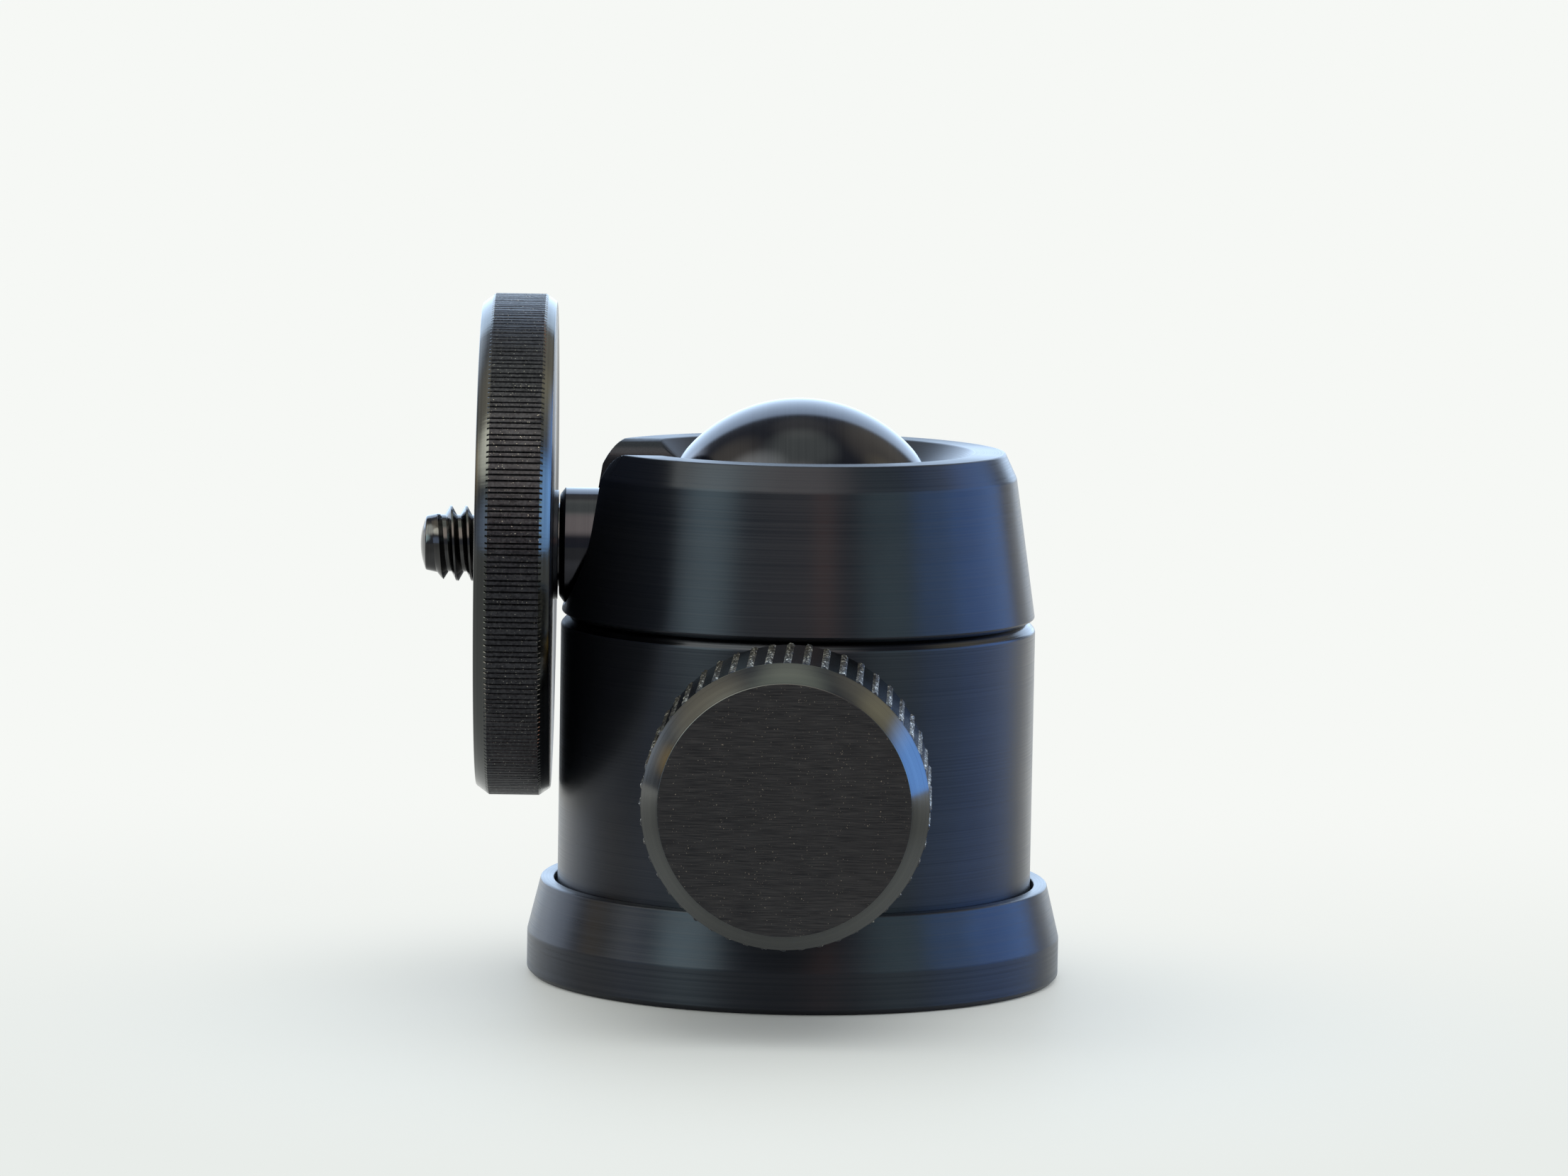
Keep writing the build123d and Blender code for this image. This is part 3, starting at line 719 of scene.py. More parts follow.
@dataclass
class ClampHousing:
    """The round housing: turned walls with the knob's bore, the key screw's and the collar screw's."""

    foot_chamfer: float = 0.4
    wall_top: float = 29.6
    groove_depth: float = 0.65
    skirt_r: float = 17.61
    skirt_foot: float = 25.5
    bore_r: float = 16.0
    flange_top: float = 6.75
    pivot_r: float = 9.58
    bush_r: float = 5.01
    knob_z: float = 19.2
    key_r: float = 2.01
    key_z: float = 22.6
    collar_screw_r: float = 1.51
    collar_screw_z: float = 27.9
    collar_screw_yaw: float = 110.0
    knob_yaw: float = 2.4
    mouth: float = 0.25
    mouth_over: float = 0.02
    drill_length: float = 30.0
    cone_inset: float = 0.05

    def knob_out(self) -> Vector:
        """Direction of the knob's axis, away from the housing."""
        yaw = math.radians(self.knob_yaw)
        return Vector((-math.sin(yaw), -math.cos(yaw), 0))

    def build(self) -> list[bpy.types.Object]:
        """Build the housing and dress it."""
        box = NodeBox.of("main_housing")
        outer_r, foot, top = box.high.x, box.low.z, box.high.z
        corners = [
            Corner(self.pivot_r, foot, 0.1),
            Corner(outer_r - self.foot_chamfer, foot, 0.08),
            Corner(outer_r, foot + self.foot_chamfer, 0.1),
            Corner(outer_r, self.wall_top, 0.16),
            Corner(outer_r - self.groove_depth, top),
            Corner(self.skirt_r, top),
            Corner(self.skirt_r, self.skirt_foot),
            Corner(self.bore_r, self.skirt_foot),
            Corner(self.bore_r, self.flange_top, 0.2),
            Corner(self.pivot_r, self.flange_top, 0.1),
        ]
        shape = TurnedShape(corners, steps=288).spin()
        knob_out = self.knob_out()
        collar_yaw = math.radians(self.collar_screw_yaw)
        collar_out = Vector((math.cos(collar_yaw), math.sin(collar_yaw), 0))
        holes = (
            (self.bush_r, self.knob_z, knob_out),
            (self.key_r, self.key_z, -knob_out),
            (self.collar_screw_r, self.collar_screw_z, collar_out),
        )
        tools = [
            drill(radius, UP * height, out, self.drill_length, self.mouth, outer_r + self.mouth_over)
            for radius, height, out in holes
        ]
        shape = Cut(tools).apply(shape)
        for face in shape.faces:
            reach, middle = face_reach(face)
            if middle.z > self.wall_top + self.cone_inset and reach > self.skirt_r:
                face.material_index = 1
        piece = Piece("housing_body", "housing", "anodised_turned", [TURNED, LAND], ["main_housing"])
        return [piece.place(shape, PAN_AXIS)]


@dataclass
class SocketCollar:
    """The conical collar that holds the ball, with the drop notch on its -X side."""

    groove_r: float = 19.35
    groove_z: float = 30.3
    foot_z: float = 30.65
    foot_r: float = 19.95
    shoulder_r: float = 18.2
    shoulder_z: float = 42.4
    rim_r: float = 17.2
    rim_w: float = 2.7
    lip_r: float = 11.35
    lip_z: float = 42.0
    shelf_r: float = 12.03
    shelf_z: float = 40.9
    skirt_in_r: float = 16.1
    skirt_out_r: float = 17.6
    skirt_foot: float = 25.5
    notch_r: float = 7.0
    notch_foot: float = 31.05
    notch_corner: float = 1.8
    notch_flat: float = 0.01  # half of what stays flat at the bottom
    notch_over: float = 4.0
    slack: float = 0.1
    flat: float = 0.02  # how square to the notch a face is that it cut

    def build(self) -> list[bpy.types.Object]:
        """Build the collar and dress it."""
        rim_z = NodeBox.of("socket_collar").high.z
        corners = [
            Corner(self.skirt_in_r, self.skirt_foot, 0.15),
            Corner(self.skirt_out_r, self.skirt_foot, 0.3),
            Corner(self.skirt_out_r, self.groove_z),
            Corner(self.groove_r, self.groove_z),
            Corner(self.foot_r, self.foot_z, 0.12),
            Corner(self.shoulder_r, self.shoulder_z, 0.12),
            Corner(self.rim_r, rim_z, 0.14),
            Corner(self.rim_r - self.rim_w, rim_z, 0.16),
            Corner(self.lip_r, self.lip_z, 0.12),
            Corner(self.shelf_r, self.shelf_z),
            Corner(self.skirt_in_r, self.shelf_z),
        ]
        shape = TurnedShape(corners, steps=288).spin()

        def on_notch(edge: bmesh.types.BMEdge) -> bool:
            """Tell the edges that the notch left from those that the lathe turned."""
            widest = self.notch_r + self.notch_corner + self.slack
            if any(vert.co.x > 0 or abs(vert.co.y) > widest for vert in edge.verts):
                return False
            return any(abs(face.normal.x) < self.flat for face in edge.link_faces)

        shape = Cut([self._notch_tool(rim_z)]).apply(shape, on_notch)
        piece = Piece("collar_ring", "housing", "anodised_turned", [TURNED], ["socket_collar"])
        return [piece.place(shape, PAN_AXIS)]

    def _notch_tool(self, rim_z: float) -> Shape:
        """Slot with a round bottom and rounded entry corners, cut from the middle out along -X."""
        over, wide = rim_z + self.notch_over, self.notch_r + 3 * self.notch_corner
        outline = [
            (-self.notch_r, self.notch_foot), (self.notch_r, self.notch_foot), (self.notch_r, rim_z),
            (wide, rim_z), (wide, over), (-wide, over), (-wide, rim_z), (-self.notch_r, rim_z),
        ]
        tool = bmesh.new()
        verts = [tool.verts.new((0, y, z)) for y, z in outline]
        tool.faces.new(verts)
        # The two lower roundings all but meet, which makes the bottom round.
        round_off(tool, "VERTICES", verts[:2], self.notch_r - self.notch_flat, segments=24)
        round_off(tool, "VERTICES", (verts[2], verts[7]), self.notch_corner, segments=6)
        swept = bmesh.ops.extrude_face_region(tool, geom=tool.faces[:])
        moved = [element for element in swept["geom"] if isinstance(element, bmesh.types.BMVert)]
        bmesh.ops.translate(tool, vec=(-2 * self.foot_r, 0, 0), verts=moved)
        bmesh.ops.recalc_face_normals(tool, faces=tool.faces)
        return tool


@dataclass
class BallAndStem:
    """The polished ball with the stem turned on it."""

    ball_r: float = 12.7
    stem_r: float = 4.85
    stem_end: float = 20.2
    end_chamfer: float = 0.45
    end_inset: float = 0.6
    neck_r: float = 6.2
    neck_rounding: float = 0.9
    socket_r: float = 3.6
    socket_depth: float = 6.95
    arc_steps: int = 72

    def build(self) -> list[bpy.types.Object]:
        """Build the ball with its stem and dress it."""
        box = NodeBox.of("ball_stem")
        centre = Vector((0, 0, box.centre().z))
        last = math.pi - math.asin(self.neck_r / self.ball_r)
        corners = [
            Corner(self.ball_r * math.sin(turn), -self.ball_r * math.cos(turn))
            for turn in spaced(0, last, self.arc_steps)
        ]
        neck_z = math.sqrt(self.ball_r**2 - self.stem_r**2)
        corners += [
            Corner(self.stem_r, neck_z, self.neck_rounding),
            Corner(self.stem_r, self.stem_end - self.end_chamfer, 0.05),
            Corner(self.stem_r - self.end_inset, self.stem_end, 0.05),
            Corner(self.socket_r, self.stem_end, 0.05),
            Corner(self.socket_r, self.stem_end - self.socket_depth),
            Corner(0, self.stem_end - self.socket_depth),
        ]
        axis = TurningAxis(centre, STEM_OUT)
        shape = TurnedShape(corners, steps=192, closed=False).spin()
        piece = Piece("ball_and_stem", "ball", "anodised_polished", [POLISHED], ["ball_stem"])
        return [piece.place(shape, axis)]


@dataclass
class CameraPlatform:
    """The knurled disc that the camera stands on."""

    boss_start: float = 20.32
    boss_r: float = 4.6
    back: float = 20.67
    back_bevel: tuple[float, float] = (0.93, 0.63)
    face_bevel: tuple[float, float] = (1.1, 0.8)
    hole_r: float = 3.185
    periods: int = 87
    steps_per_period: int = 18
    groove_steps: tuple[int, ...] = (0, 6, 11)
    groove_depth: float = 0.19
    run_out: float = 0.15
    uneven: float = 0.015
    band_rings: int = 6
    grip_first_r: float = 9.0
    grip_step: float = 2.6
    grip_count: int = 4
    grip_w: float = 0.5
    grip_depth: float = 0.2
    knurl_zone: float = 0.2
    bevel_zone: float = 0.05
    slack: float = 0.01
    seed: int = 11

    def build(self) -> list[bpy.types.Object]:
        """Build the disc and dress it."""
        box = NodeBox.of("platform_disc")
        axis = TurningAxis(Vector((0, 0, box.centre().z)), STEM_OUT)
        rim_r, face = (box.high.z - box.low.z) / 2, -box.low.x
        band = (self.back + self.back_bevel[0], face - self.face_bevel[0])
        run_up = self.run_out * self.back_bevel[0] / self.back_bevel[1]
        run_down = self.run_out * self.face_bevel[0] / self.face_bevel[1]
        corners = [
            Corner(self.hole_r, self.boss_start),
            Corner(self.boss_r, self.boss_start, 0.06),
            Corner(self.boss_r, self.back),
            Corner(rim_r - self.back_bevel[1], self.back, 0.08),
            Corner(rim_r - self.run_out, band[0] - run_up),
        ]
        # The bevels are cut after the knurl, so its grooves end in their first run_out.
        corners += [Corner(rim_r, height) for height in spaced(*band, self.band_rings)]
        corners += [
            Corner(rim_r - self.run_out, band[1] + run_down),
            Corner(rim_r - self.face_bevel[1], face, 0.08),
        ]
        for ring in reversed(range(self.grip_count)):
            middle = self.grip_first_r + ring * self.grip_step
            corners += ring_groove(middle, -self.grip_w / 2, face, face - self.grip_depth, 0.05)
        corners.append(Corner(self.hole_r, face))
        count = self.periods * self.steps_per_period
        shape = TurnedShape(corners, steps=count, segments=2, sectors=self.periods).spin()
        chance = random.Random(self.seed)
        ridges = [chance.uniform(0, self.uneven) for _ in range(count)]

        def lift(share: float, height: float) -> float:
            """Depth of the knurl's grooves, three to a period, with slightly uneven ridges between them."""
            step = round(share * count) % count
            if step % self.steps_per_period in self.groove_steps:
                return -self.groove_depth
            return -ridges[step]

        def on_band(radius: float, height: float) -> bool:
            """Tell the rim's vertices."""
            return radius > rim_r - self.slack and band[0] - self.slack < height < band[1] + self.slack

        press_knurl(shape, on_band, lift)
        for part in shape.faces:
            reach, middle = face_reach(part)
            if reach > rim_r - self.knurl_zone and band[0] < middle.z < band[1]:
                part.material_index = 1
            elif reach > rim_r - self.face_bevel[1] - self.bevel_zone:
                part.material_index = 2
        finishes = [TURNED, KNURLED, BEVEL]
        piece = Piece("camera_platform", "platform", "anodised_knurled", finishes, ["platform_disc"])
        return [piece.place(shape, axis)]


@dataclass
class CameraStud:
    """The camera stud: a shallow dome on a plain nose, the 1/4"-20 thread, and the plain end in the stem."""

    thread_r: float = 3.175
    root_r: float = 2.4
    pitch: float = 1.27
    spigot_r: float = 3.52
    spigot_foot: float = 13.3
    shoulder: float = 20.33
    plain_end: float = 24.1
    thread_foot: float = 25.56
    thread_end: float = 30.6
    lead_start: float = 29.8
    lead_end: float = 30.75
    sunk: float = 0.05  # how far the cone goes below the thread's root
    nose_foot: float = 30.35
    nose_foot_r: float = 2.5
    nose_tip_r: float = 2.28
    nose_rounding: float = 0.12
    dome_r: float = 2.2
    dome_h: float = 0.45
    dome_steps: int = 12

    def build(self) -> list[bpy.types.Object]:
        """Build the stud and dress it."""
        box = NodeBox.of("camera_stud")
        tip = -box.low.x
        edge = tip - self.dome_h
        corners = [
            Corner(0, self.spigot_foot),
            Corner(self.spigot_r, self.spigot_foot, 0.2),
            Corner(self.spigot_r, self.shoulder),
            Corner(self.thread_r, self.shoulder),
            Corner(self.thread_r, self.plain_end),
            Corner(self.root_r, self.plain_end + self.thread_r - self.root_r),
            Corner(self.root_r, self.nose_foot - self.nose_foot_r + self.root_r),
            Corner(self.nose_foot_r, self.nose_foot, 0.06),
            Corner(self.nose_tip_r, edge, self.nose_rounding),
        ]
        ball_r = (self.dome_r**2 + self.dome_h**2) / (2 * self.dome_h)
        corners += [
            Corner(radius, tip - ball_r + math.sqrt(ball_r**2 - radius**2))
            for radius in spaced(self.dome_r - self.nose_rounding, 0, self.dome_steps)
        ]
        shape = TurnedShape(corners, steps=96, closed=False).spin()
        ridge = (self.root_r, self.thread_r, self.pitch)
        ThreadRidge(*ridge, self.thread_foot, self.thread_end, steps_per_turn=48).add_to(shape)
        self._turn_lead(shape)
        axis = TurningAxis(Vector((0, 0, box.centre().z)), STEM_OUT)
        piece = Piece("camera_screw", "platform", "black_steel", [STUD_STEEL], ["camera_stud"])
        return [piece.place(shape, axis)]

    def _turn_lead(self, shape: Shape) -> None:
        """Turn the end of the thread down to a cone, so that it starts without a step."""
        slope = (self.thread_r - self.root_r) / (self.lead_end - self.lead_start)
        for vert in shape.verts:
            radius = math.hypot(vert.co.x, vert.co.y)
            limit = max(self.root_r - self.sunk, self.thread_r - slope * (vert.co.z - self.lead_start))
            if vert.co.z > self.lead_start and radius > max(limit, self.nose_foot_r):
                vert.co.x *= limit / radius
                vert.co.y *= limit / radius


@dataclass
class LockKnob:
    """The lock knob, its threaded spindle and the bush that carries it."""

    rear: float = 23.6  # 1.1 beside the base
    rear_chamfer: float = 0.6
    step: float = 0.18
    bevel_h: float = 2.3
    bevel_w: float = 1.37
    periods: int = 48
    steps_per_period: int = 10
    burr_steps: tuple[int, ...] = (6, 7, 8)
    land_drop: float = 0.17
    burr_rough: float = 0.14
    band_rings: int = 58
    knurl_zone: float = 0.2
    bevel_zone: float = 0.05
    slack: float = 0.01
    spindle_r: float = 3.0
    spindle_root_r: float = 2.42
    spindle_pitch: float = 1.0
    spindle_depth: float = 11.4
    nose_r: float = 2.2
    nose_h: float = 1.6
    thread_inset: tuple[float, float] = (2.2, 0.6)
    screw_r: float = 1.51
    screw_inset: float = 3.4
    screw_mouth: float = 0.25
    bush_bore_r: float = 3.08
    bush_chamfer: float = 0.35
    flat: float = 0.9  # how level a face is that belongs to the knob's front
    seed: int = 5

    def build(self) -> list[bpy.types.Object]:
        """Build the knob, the spindle and the bush."""
        axis = TurningAxis(UP * NodeBox.of("lock_knob").centre().z, ClampHousing().knob_out())
        return [self._knob(axis), self._spindle(axis), self._bush(axis)]

    def _reach(self, node: str, axis: TurningAxis, radius: float) -> tuple[float, float]:
        """Nearest and farthest place of a round node along the knob's axis."""
        box = NodeBox.of(node)
        tilt = abs(axis.direction.x) * radius
        return (-box.high.y - tilt) / abs(axis.direction.y), (-box.low.y - tilt) / abs(axis.direction.y)

    def _knob(self, axis: TurningAxis) -> bpy.types.Object:
        """Knob with torn burrs on its knurl, a bevel whose brighter colour is a painted highlight, and a bare
        brushed face.
        """
        box = NodeBox.of("lock_knob")
        knob_r = (box.high.z - box.low.z) / 2
        bevel_r = knob_r - self.step
        face_r = bevel_r - self.bevel_w
        face = self._reach("lock_knob", axis, face_r)[1]
        shoulder = face - self.bevel_h
        band = (self.rear + self.rear_chamfer, shoulder - self.step)
        bore_r, bore_end = self.spindle_r + self.slack, self.rear + self.spindle_depth + self.slack
        corners = [
            Corner(0, bore_end),
            Corner(bore_r, bore_end),
            Corner(bore_r, self.rear, 0.1),
            Corner(knob_r - self.rear_chamfer, self.rear, 0.1),
        ]
        corners += [Corner(knob_r, height) for height in spaced(*band, self.band_rings)]
        corners += [Corner(bevel_r, shoulder, 0.04), Corner(face_r, face, 0.05), Corner(0, face)]
        count = self.periods * self.steps_per_period
        shape = TurnedShape(corners, steps=count, closed=False, segments=2, sectors=self.periods).spin()
        chance = random.Random(self.seed)
        rough: dict[tuple[int, float], float] = {}

        def lift(share: float, height: float) -> float:
            """Lands between the burrs, and the burrs' torn tops."""
            step = round(share * count) % count
            if step % self.steps_per_period not in self.burr_steps:
                return -self.land_drop
            key = (step, round(height, 2))
            if key not in rough:
                rough[key] = -chance.uniform(0, self.burr_rough)
            return rough[key]

        def on_band(radius: float, height: float) -> bool:
            """Tell the knurl's vertices."""
            return radius > knob_r - 2 * self.slack and band[0] - self.slack < height < band[1] + self.slack

        press_knurl(shape, on_band, lift)
        shape = Cut([self._screw_tool(axis, knob_r)], speck=0.002).apply(shape)
        for part in shape.faces:
            reach, middle = face_reach(part)
            level = abs(part.normal.z) > self.flat
            if level and middle.z > face - 2 * self.slack and reach < face_r:
                part.material_index = 1
            elif middle.z > shoulder - self.bevel_zone:
                part.material_index = 2
            elif reach > knob_r - self.knurl_zone and band[0] < middle.z < band[1]:
                share = math.atan2(middle.y, middle.x) / FULL_TURN % 1
                step = int(share * count) % self.steps_per_period
                on_burr = step in self.burr_steps or step + 1 in self.burr_steps
                part.material_index = 3 if on_burr else 4
        finishes = [TURNED, BRUSHED, BEVEL, BURR, LAND]
        piece = Piece("lock_knob_body", "knob", "anodised_knurled", finishes, ["lock_knob"])
        return piece.place(shape, axis)

    def _screw_tool(self, axis: TurningAxis, knob_r: float) -> Shape:
        """Tool that drills the set screw's hole into the knob from straight below."""
        screw = drill(self.screw_r, Vector((0, 0, 0)), STEM_OUT, 2 * knob_r, self.screw_mouth, knob_r)
        bmesh.ops.translate(screw, vec=(0, 0, self.rear + self.screw_inset), verts=screw.verts)
        down = axis.placement().inverted().to_3x3() @ -UP
        turn = Matrix.Rotation(math.atan2(down.y, down.x) - math.pi, 3, "Z")
        bmesh.ops.rotate(screw, cent=(0, 0, 0), matrix=turn, verts=screw.verts)
        return screw

    def _spindle(self, axis: TurningAxis) -> bpy.types.Object:
        """Spindle with its M6 x 1 thread and a plain nose that pushes the wedge."""
        near, far = self._reach("lock_spindle", axis, self.spindle_r)
        corners = [
            Corner(0, near),
            Corner(self.nose_r, near, 0.3),
            Corner(self.nose_r, near + self.nose_h),
            Corner(self.spindle_root_r, near + self.nose_h),
            Corner(self.spindle_root_r, far, 0.2),
            Corner(0, far),
        ]
        shape = TurnedShape(corners, steps=64, closed=False).spin()
        first, last = self.thread_inset
        ridge = (self.spindle_root_r, self.spindle_r, self.spindle_pitch)
        ThreadRidge(*ridge, near + first, far - last).add_to(shape)
        piece = Piece("knob_spindle", "knob", "bright_steel", [BRIGHT_STEEL], ["lock_spindle"])
        return piece.place(shape, axis)

    def _bush(self, axis: TurningAxis) -> bpy.types.Object:
        """Brass bush with chamfered ends."""
        box = NodeBox.of("spindle_bush")
        bush_r = (box.high.z - box.low.z) / 2
        near, far = self._reach("spindle_bush", axis, bush_r)
        corners = [
            Corner(self.bush_bore_r, near),
            Corner(bush_r, near, 0.2),
            Corner(bush_r, far, self.bush_chamfer),
            Corner(self.bush_bore_r, far, 0.2),
        ]
        shape = TurnedShape(corners, steps=96).spin()
        piece = Piece("knob_bush", "housing", "brass", [BRASS], ["spindle_bush"])
        return piece.place(shape, axis)


@dataclass
class CarriedNodes:
    """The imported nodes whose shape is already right: they only get their finish."""

    nodes: Mapping[str, bpy.types.Object]

    def dress(self) -> None:
        """Give each node the material of its real piece, turned on its own axis or on the pan axis."""
        across = ClampHousing().knob_out()
        finishes = (
            (ACETAL, None, ("pan_washer", "flange_washer", "upper_seat", "lower_seat")),
            (MACHINED, None, ("pan_brake", "pressure_piston")),
            (BRIGHT_STEEL, None, ("pan_retainer",)),
            (BLACK_STEEL, None, ("retainer_screws",)),
            (BRASS, across, ("clamp_wedge",)),
            (BRIGHT_STEEL, across, ("wedge_spring",)),
            (BLACK_STEEL, across, ("key_screw", "collar_screw")),
            (BLACK_STEEL, UP, ("knob_screw",)),
        )
        for finish, direction, names in finishes:
            for name in names:
                axis = TurningAxis(NodeBox.of(name).centre(), direction) if direction else PAN_AXIS
                node = self.nodes[name]
                node.data.materials.clear()
                node.data.materials.append(finish.material(axis, name))
                LOG.info("%s: dressed in %s", name, finish.name)


# ---------------- studio
def towards(azimuth_deg: float, elevation_deg: float) -> Vector:
    """Unit vector towards a place in the room; azimuth 0 is -Y, and 90 is +X."""
    azimuth, elevation = math.radians(azimuth_deg), math.radians(elevation_deg)
    level = math.cos(elevation)
    return Vector((math.sin(azimuth) * level, -math.cos(azimuth) * level, math.sin(elevation)))


@dataclass(frozen=True)
class SkyPatch:
    """A round patch of light with a soft edge that shows in reflections. Its angles are degrees."""

    name: str
    azimuth: float
    elevation: float
    half_angle: float
    softness: float
    colour: str
    level: float

    def direction(self) -> Vector:
        """Unit vector towards the patch."""
        return towards(self.azimuth, self.elevation)


@dataclass(frozen=True)
class SoftLamp:
    """A large round lamp that faces the object, in degrees, metres and watts."""

    name: str
    azimuth: float
    elevation: float
    distance: float
    size: float
    power: float
    colour: str


@dataclass
class Studio:
    """Pale floor, plain soft light and the room that shows in the metal."""

    floor_radius_m: float = 10.0
    floor_drop_m: float = 0.00002
    floor_roughness: float = 0.6
    floor_sheen: float = 0.1
    floor_colour: str = "#eaeeea"
    floor_in_metal: str = "#cdd1ce"
    shade_y_m: float = -0.03
    shade_core_m: float = 0.016
    shade_edge_m: float = 0.075
    sweep_near_painted_shade: str = "#e9edea"
    sweep_far: str = "#f6f8f5"
    sweep_start_m: float = -0.07
    sweep_end_m: float = 0.12
    front_in_metal: float = 0.42
    fill_level: float = 0.86
    camera_level: str = "#f3f6f4"
    room_colour: str = "#e5eeff"
    room_level: float = 0.28
    aim_z_mm: float = 28.0
    patches: tuple[SkyPatch, ...] = (
        SkyPatch("sky_behind", 180, 18, 32, 3, "#c8e2ff", 2.4),
        SkyPatch("near_window", 75, 13, 14, 6, "#86beff", 3.2),
        SkyPatch("far_window", 107, 8, 20, 8, "#6eaaff", 4.2),
        SkyPatch("window_head", 100, 37, 12, 8, "#fff0b0", 0.45),
        SkyPatch("right_wall", 124, 42, 16, 12, "#fff0c8", 0.5),
        SkyPatch("right_card", 46, 16, 14, 7, "#cfffff", 1.3),
        SkyPatch("brick_wall", 12, 14, 5, 3, "#ffa878", 2.3),
        SkyPatch("ceiling_front", 0, 48, 20, 10, "#fff0dd", 1.9),
        SkyPatch("ceiling", 0, 88, 18, 8, "#f4ffe6", 0.75),
        SkyPatch("beam_behind", 180, 68, 10, 7, "#e6e2cc", 0.35),
        SkyPatch("left_card", -50, 20, 13, 7, "#dcffff", 3.0),
        SkyPatch("left_ceiling", -60, 50, 20, 10, "#fafff0", 2.5),
        SkyPatch("left_lamp", -86, 27, 8, 4, "#ffffee", 3.3),
        SkyPatch("left_shelf", -102, 46, 15, 12, "#fff0c8", 0.6),
        SkyPatch("left_wall", -101, 14, 6, 4, "#ffcf58", 1.0),
        SkyPatch("left_low", -74, 6, 8, 4, "#b8d4ff", 0.9),
        SkyPatch("left_rear", -133, 13, 17, 4, "#d4e4f8", 1.8),
    )
    lamps: tuple[SoftLamp, ...] = (
        SoftLamp("overhead", 20, 68, 1.1, 0.9, 2.0, "#fbfdff"),
        SoftLamp("window_side", 100, 25, 1.3, 0.6, 0.8, "#d3e2ff"),
    )

    def build(self) -> None:
        """Build the floor, the room and the lamps."""
        self._floor()
        self._room()
        for lamp in self.lamps:
            self._lamp(lamp)

    def _floor(self) -> None:
        """Pale card under the object."""
        shape = bmesh.new()
        bmesh.ops.create_circle(shape, cap_ends=True, segments=96, radius=self.floor_radius_m)
        bmesh.ops.translate(shape, vec=(0, 0, -self.floor_drop_m), verts=shape.verts)
        floor = show("floor", shape)
        floor.data.materials.append(self._floor_material())

    def _floor_material(self) -> bpy.types.Material:
        """Matt card: pale, and clear when seen from below.

        It takes the object's shade close to it, and farther off it shows as a pale sweep to the camera and to
        glossy rays, greyer towards the front: painted shade. The metal sees the card and the front of the
        sweep dimmed, a painted shade as if the room's shade fell on them.
        """
        material = bpy.data.materials.new("matt_card")
        tree = empty_tree(material)
        ray = add_node(tree, "ShaderNodeLightPath").outputs
        place = add_node(tree, "ShaderNodeTexCoord").outputs["Object"]
        away = vector_result(tree, "DISTANCE", place, (0, self.shade_y_m, 0), result="Value")
        clear_of_shade = map_range(tree, away, (self.shade_core_m, self.shade_edge_m), shape="SMOOTHSTEP")
        depth = add_node(tree, "ShaderNodeSeparateXYZ", None, {0: place}).outputs["Y"]
        behind = map_range(tree, depth, (self.sweep_start_m, self.sweep_end_m), shape="SMOOTHSTEP")
        # Painted shade: the glowing sweep is greyer in front of the object than behind it.
        colour = mix_colours(tree, behind, srgb(self.sweep_near_painted_shade), srgb(self.sweep_far))
        dimmed = map_range(tree, behind, (0.0, 1.0), (self.front_in_metal, 1.0))
        level = map_range(tree, ray["Is Glossy Ray"], (0.0, 1.0), (1.0, dimmed))
        sweep = add_node(tree, "ShaderNodeEmission", None, {"Color": colour, "Strength": level})
        paper = mix_colours(tree, ray["Is Glossy Ray"], srgb(self.floor_colour), srgb(self.floor_in_metal))
        sockets = {
            "Base Color": paper, "Roughness": self.floor_roughness, "Specular IOR Level": self.floor_sheen
        }
        card = add_node(tree, "ShaderNodeBsdfPrincipled", None, sockets)
        seen = calculate(tree, "MAXIMUM", ray["Is Camera Ray"], ray["Is Glossy Ray"])
        even = calculate(tree, "MULTIPLY", clear_of_shade, seen)
        top = add_node(tree, "ShaderNodeMixShader", None, {0: even, 1: card.outputs[0], 2: sweep.outputs[0]})
        clear = add_node(tree, "ShaderNodeBsdfTransparent")
        below = add_node(tree, "ShaderNodeNewGeometry").outputs["Backfacing"]
        both = add_node(tree, "ShaderNodeMixShader", None, {0: below, 1: top.outputs[0], 2: clear.outputs[0]})
        add_node(tree, "ShaderNodeOutputMaterial", None, {"Surface": both.outputs[0]})
        return material

    def _room(self) -> None:
        """Plain light for the surfaces, pale for the camera, and a room of soft patches for reflections."""
        world = bpy.data.worlds.new("studio")
        bpy.context.scene.world = world
        tree = empty_tree(world)
        outward = add_node(tree, "ShaderNodeTexCoord").outputs["Generated"]
        colour: object = srgb(self.room_colour, self.room_level)
        for patch in self.patches:
            facing = vector_result(
                tree, "DOT_PRODUCT", outward, patch.direction(), result="Value", label=patch.name
            )
            edge = math.cos(math.radians(patch.half_angle + patch.softness))
            core = math.cos(math.radians(patch.half_angle - patch.softness))
            share = map_range(tree, facing, (edge, core), shape="SMOOTHSTEP")
            colour = mix_colours(tree, share, colour, srgb(patch.colour, patch.level), blend="ADD")
        seen = add_node(tree, "ShaderNodeLightPath").outputs
        plain = (self.fill_level, self.fill_level, self.fill_level, 1.0)
        shown = mix_colours(tree, seen["Is Glossy Ray"], plain, colour)
        shown = mix_colours(tree, seen["Is Camera Ray"], shown, srgb(self.camera_level))
        light = add_node(tree, "ShaderNodeBackground", None, {"Color": shown, "Strength": 1.0})
        add_node(tree, "ShaderNodeOutputWorld", None, {"Surface": light.outputs[0]})

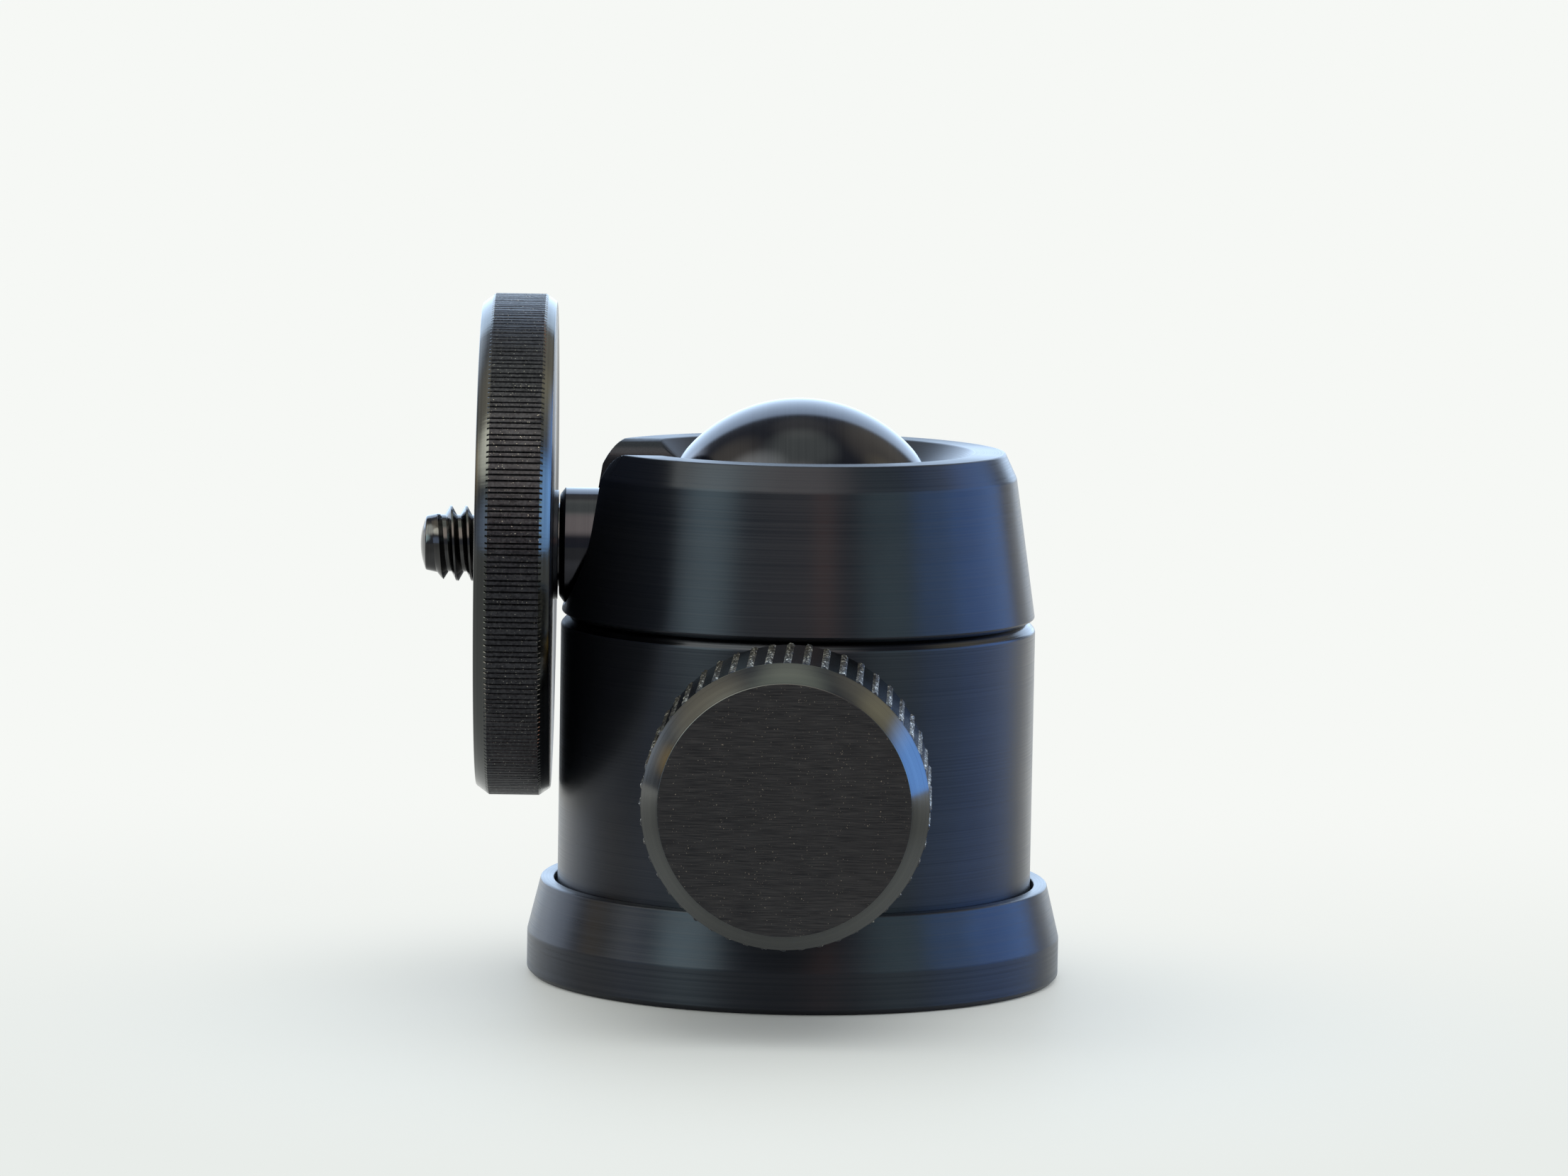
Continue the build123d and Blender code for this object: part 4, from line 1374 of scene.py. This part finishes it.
    def _lamp(self, lamp: SoftLamp) -> None:
        """Hang one soft lamp and turn it to the object."""
        data = bpy.data.lights.new(lamp.name, "AREA")
        data.shape = "DISK"
        data.size = lamp.size
        data.energy = lamp.power
        data.color = srgb(lamp.colour)[:3]
        holder = bpy.data.objects.new(lamp.name, data)
        holder.visible_glossy = False
        outward = towards(lamp.azimuth, lamp.elevation)
        aim = UP * self.aim_z_mm * MM
        holder.location = aim + outward * lamp.distance
        holder.rotation_euler = (-outward).to_track_quat("-Z", "Y").to_euler()
        bpy.context.scene.collection.objects.link(holder)


@dataclass(frozen=True)
class ProductCamera:
    """Long lens a little above the knob, looking slightly down."""

    distance_mm: float = 565.0
    height_mm: float = 91.5
    swing_deg: float = 1.2
    yaw_deg: float = -0.126
    pitch_deg: float = 5.94
    roll_deg: float = 0.985
    lens_mm: float = 154.6
    sensor_mm: float = 36.0

    def build(self) -> None:
        """Make the camera and give it to the scene."""
        yaw, pitch, roll = (math.radians(angle) for angle in (self.yaw_deg, self.pitch_deg, self.roll_deg))
        forward = Vector((math.sin(yaw) * math.cos(pitch), math.cos(yaw) * math.cos(pitch), -math.sin(pitch)))
        level = Vector((math.cos(yaw), -math.sin(yaw), 0))
        upright = level.cross(forward)
        right = level * math.cos(roll) + upright * math.sin(roll)
        top = upright * math.cos(roll) - level * math.sin(roll)
        aim = Matrix((right, top, -forward)).transposed().to_4x4()
        stand = Matrix.Translation(Vector((0, -self.distance_mm, self.height_mm)) * MM)
        swing = Matrix.Rotation(math.radians(-self.swing_deg), 4, "Z")
        data = bpy.data.cameras.new("product_camera")
        data.lens = self.lens_mm
        data.sensor_width = self.sensor_mm
        data.sensor_fit = "HORIZONTAL"
        data.clip_start = 0.01
        camera = bpy.data.objects.new("product_camera", data)
        camera.matrix_world = swing @ stand @ aim
        bpy.context.scene.collection.objects.link(camera)
        bpy.context.scene.camera = camera


def main() -> None:
    """Build the pieces in order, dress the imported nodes, and set the studio round them."""
    logging.basicConfig(level=logging.INFO, format="%(name)s: %(message)s")
    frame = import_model()
    bpy.context.scene.view_settings.view_transform = "Standard"
    ProductCamera().build()
    Studio().build()
    head = (TripodBase, ClampHousing, SocketCollar, BallAndStem, CameraPlatform, CameraStud, LockKnob)
    for assembly in head:
        pieces = assembly().build()
        LOG.info("%s gave %d pieces", assembly.__name__, len(pieces))
    CarriedNodes(frame["nodes"]).dress()


if __name__ == "__main__":
    main()
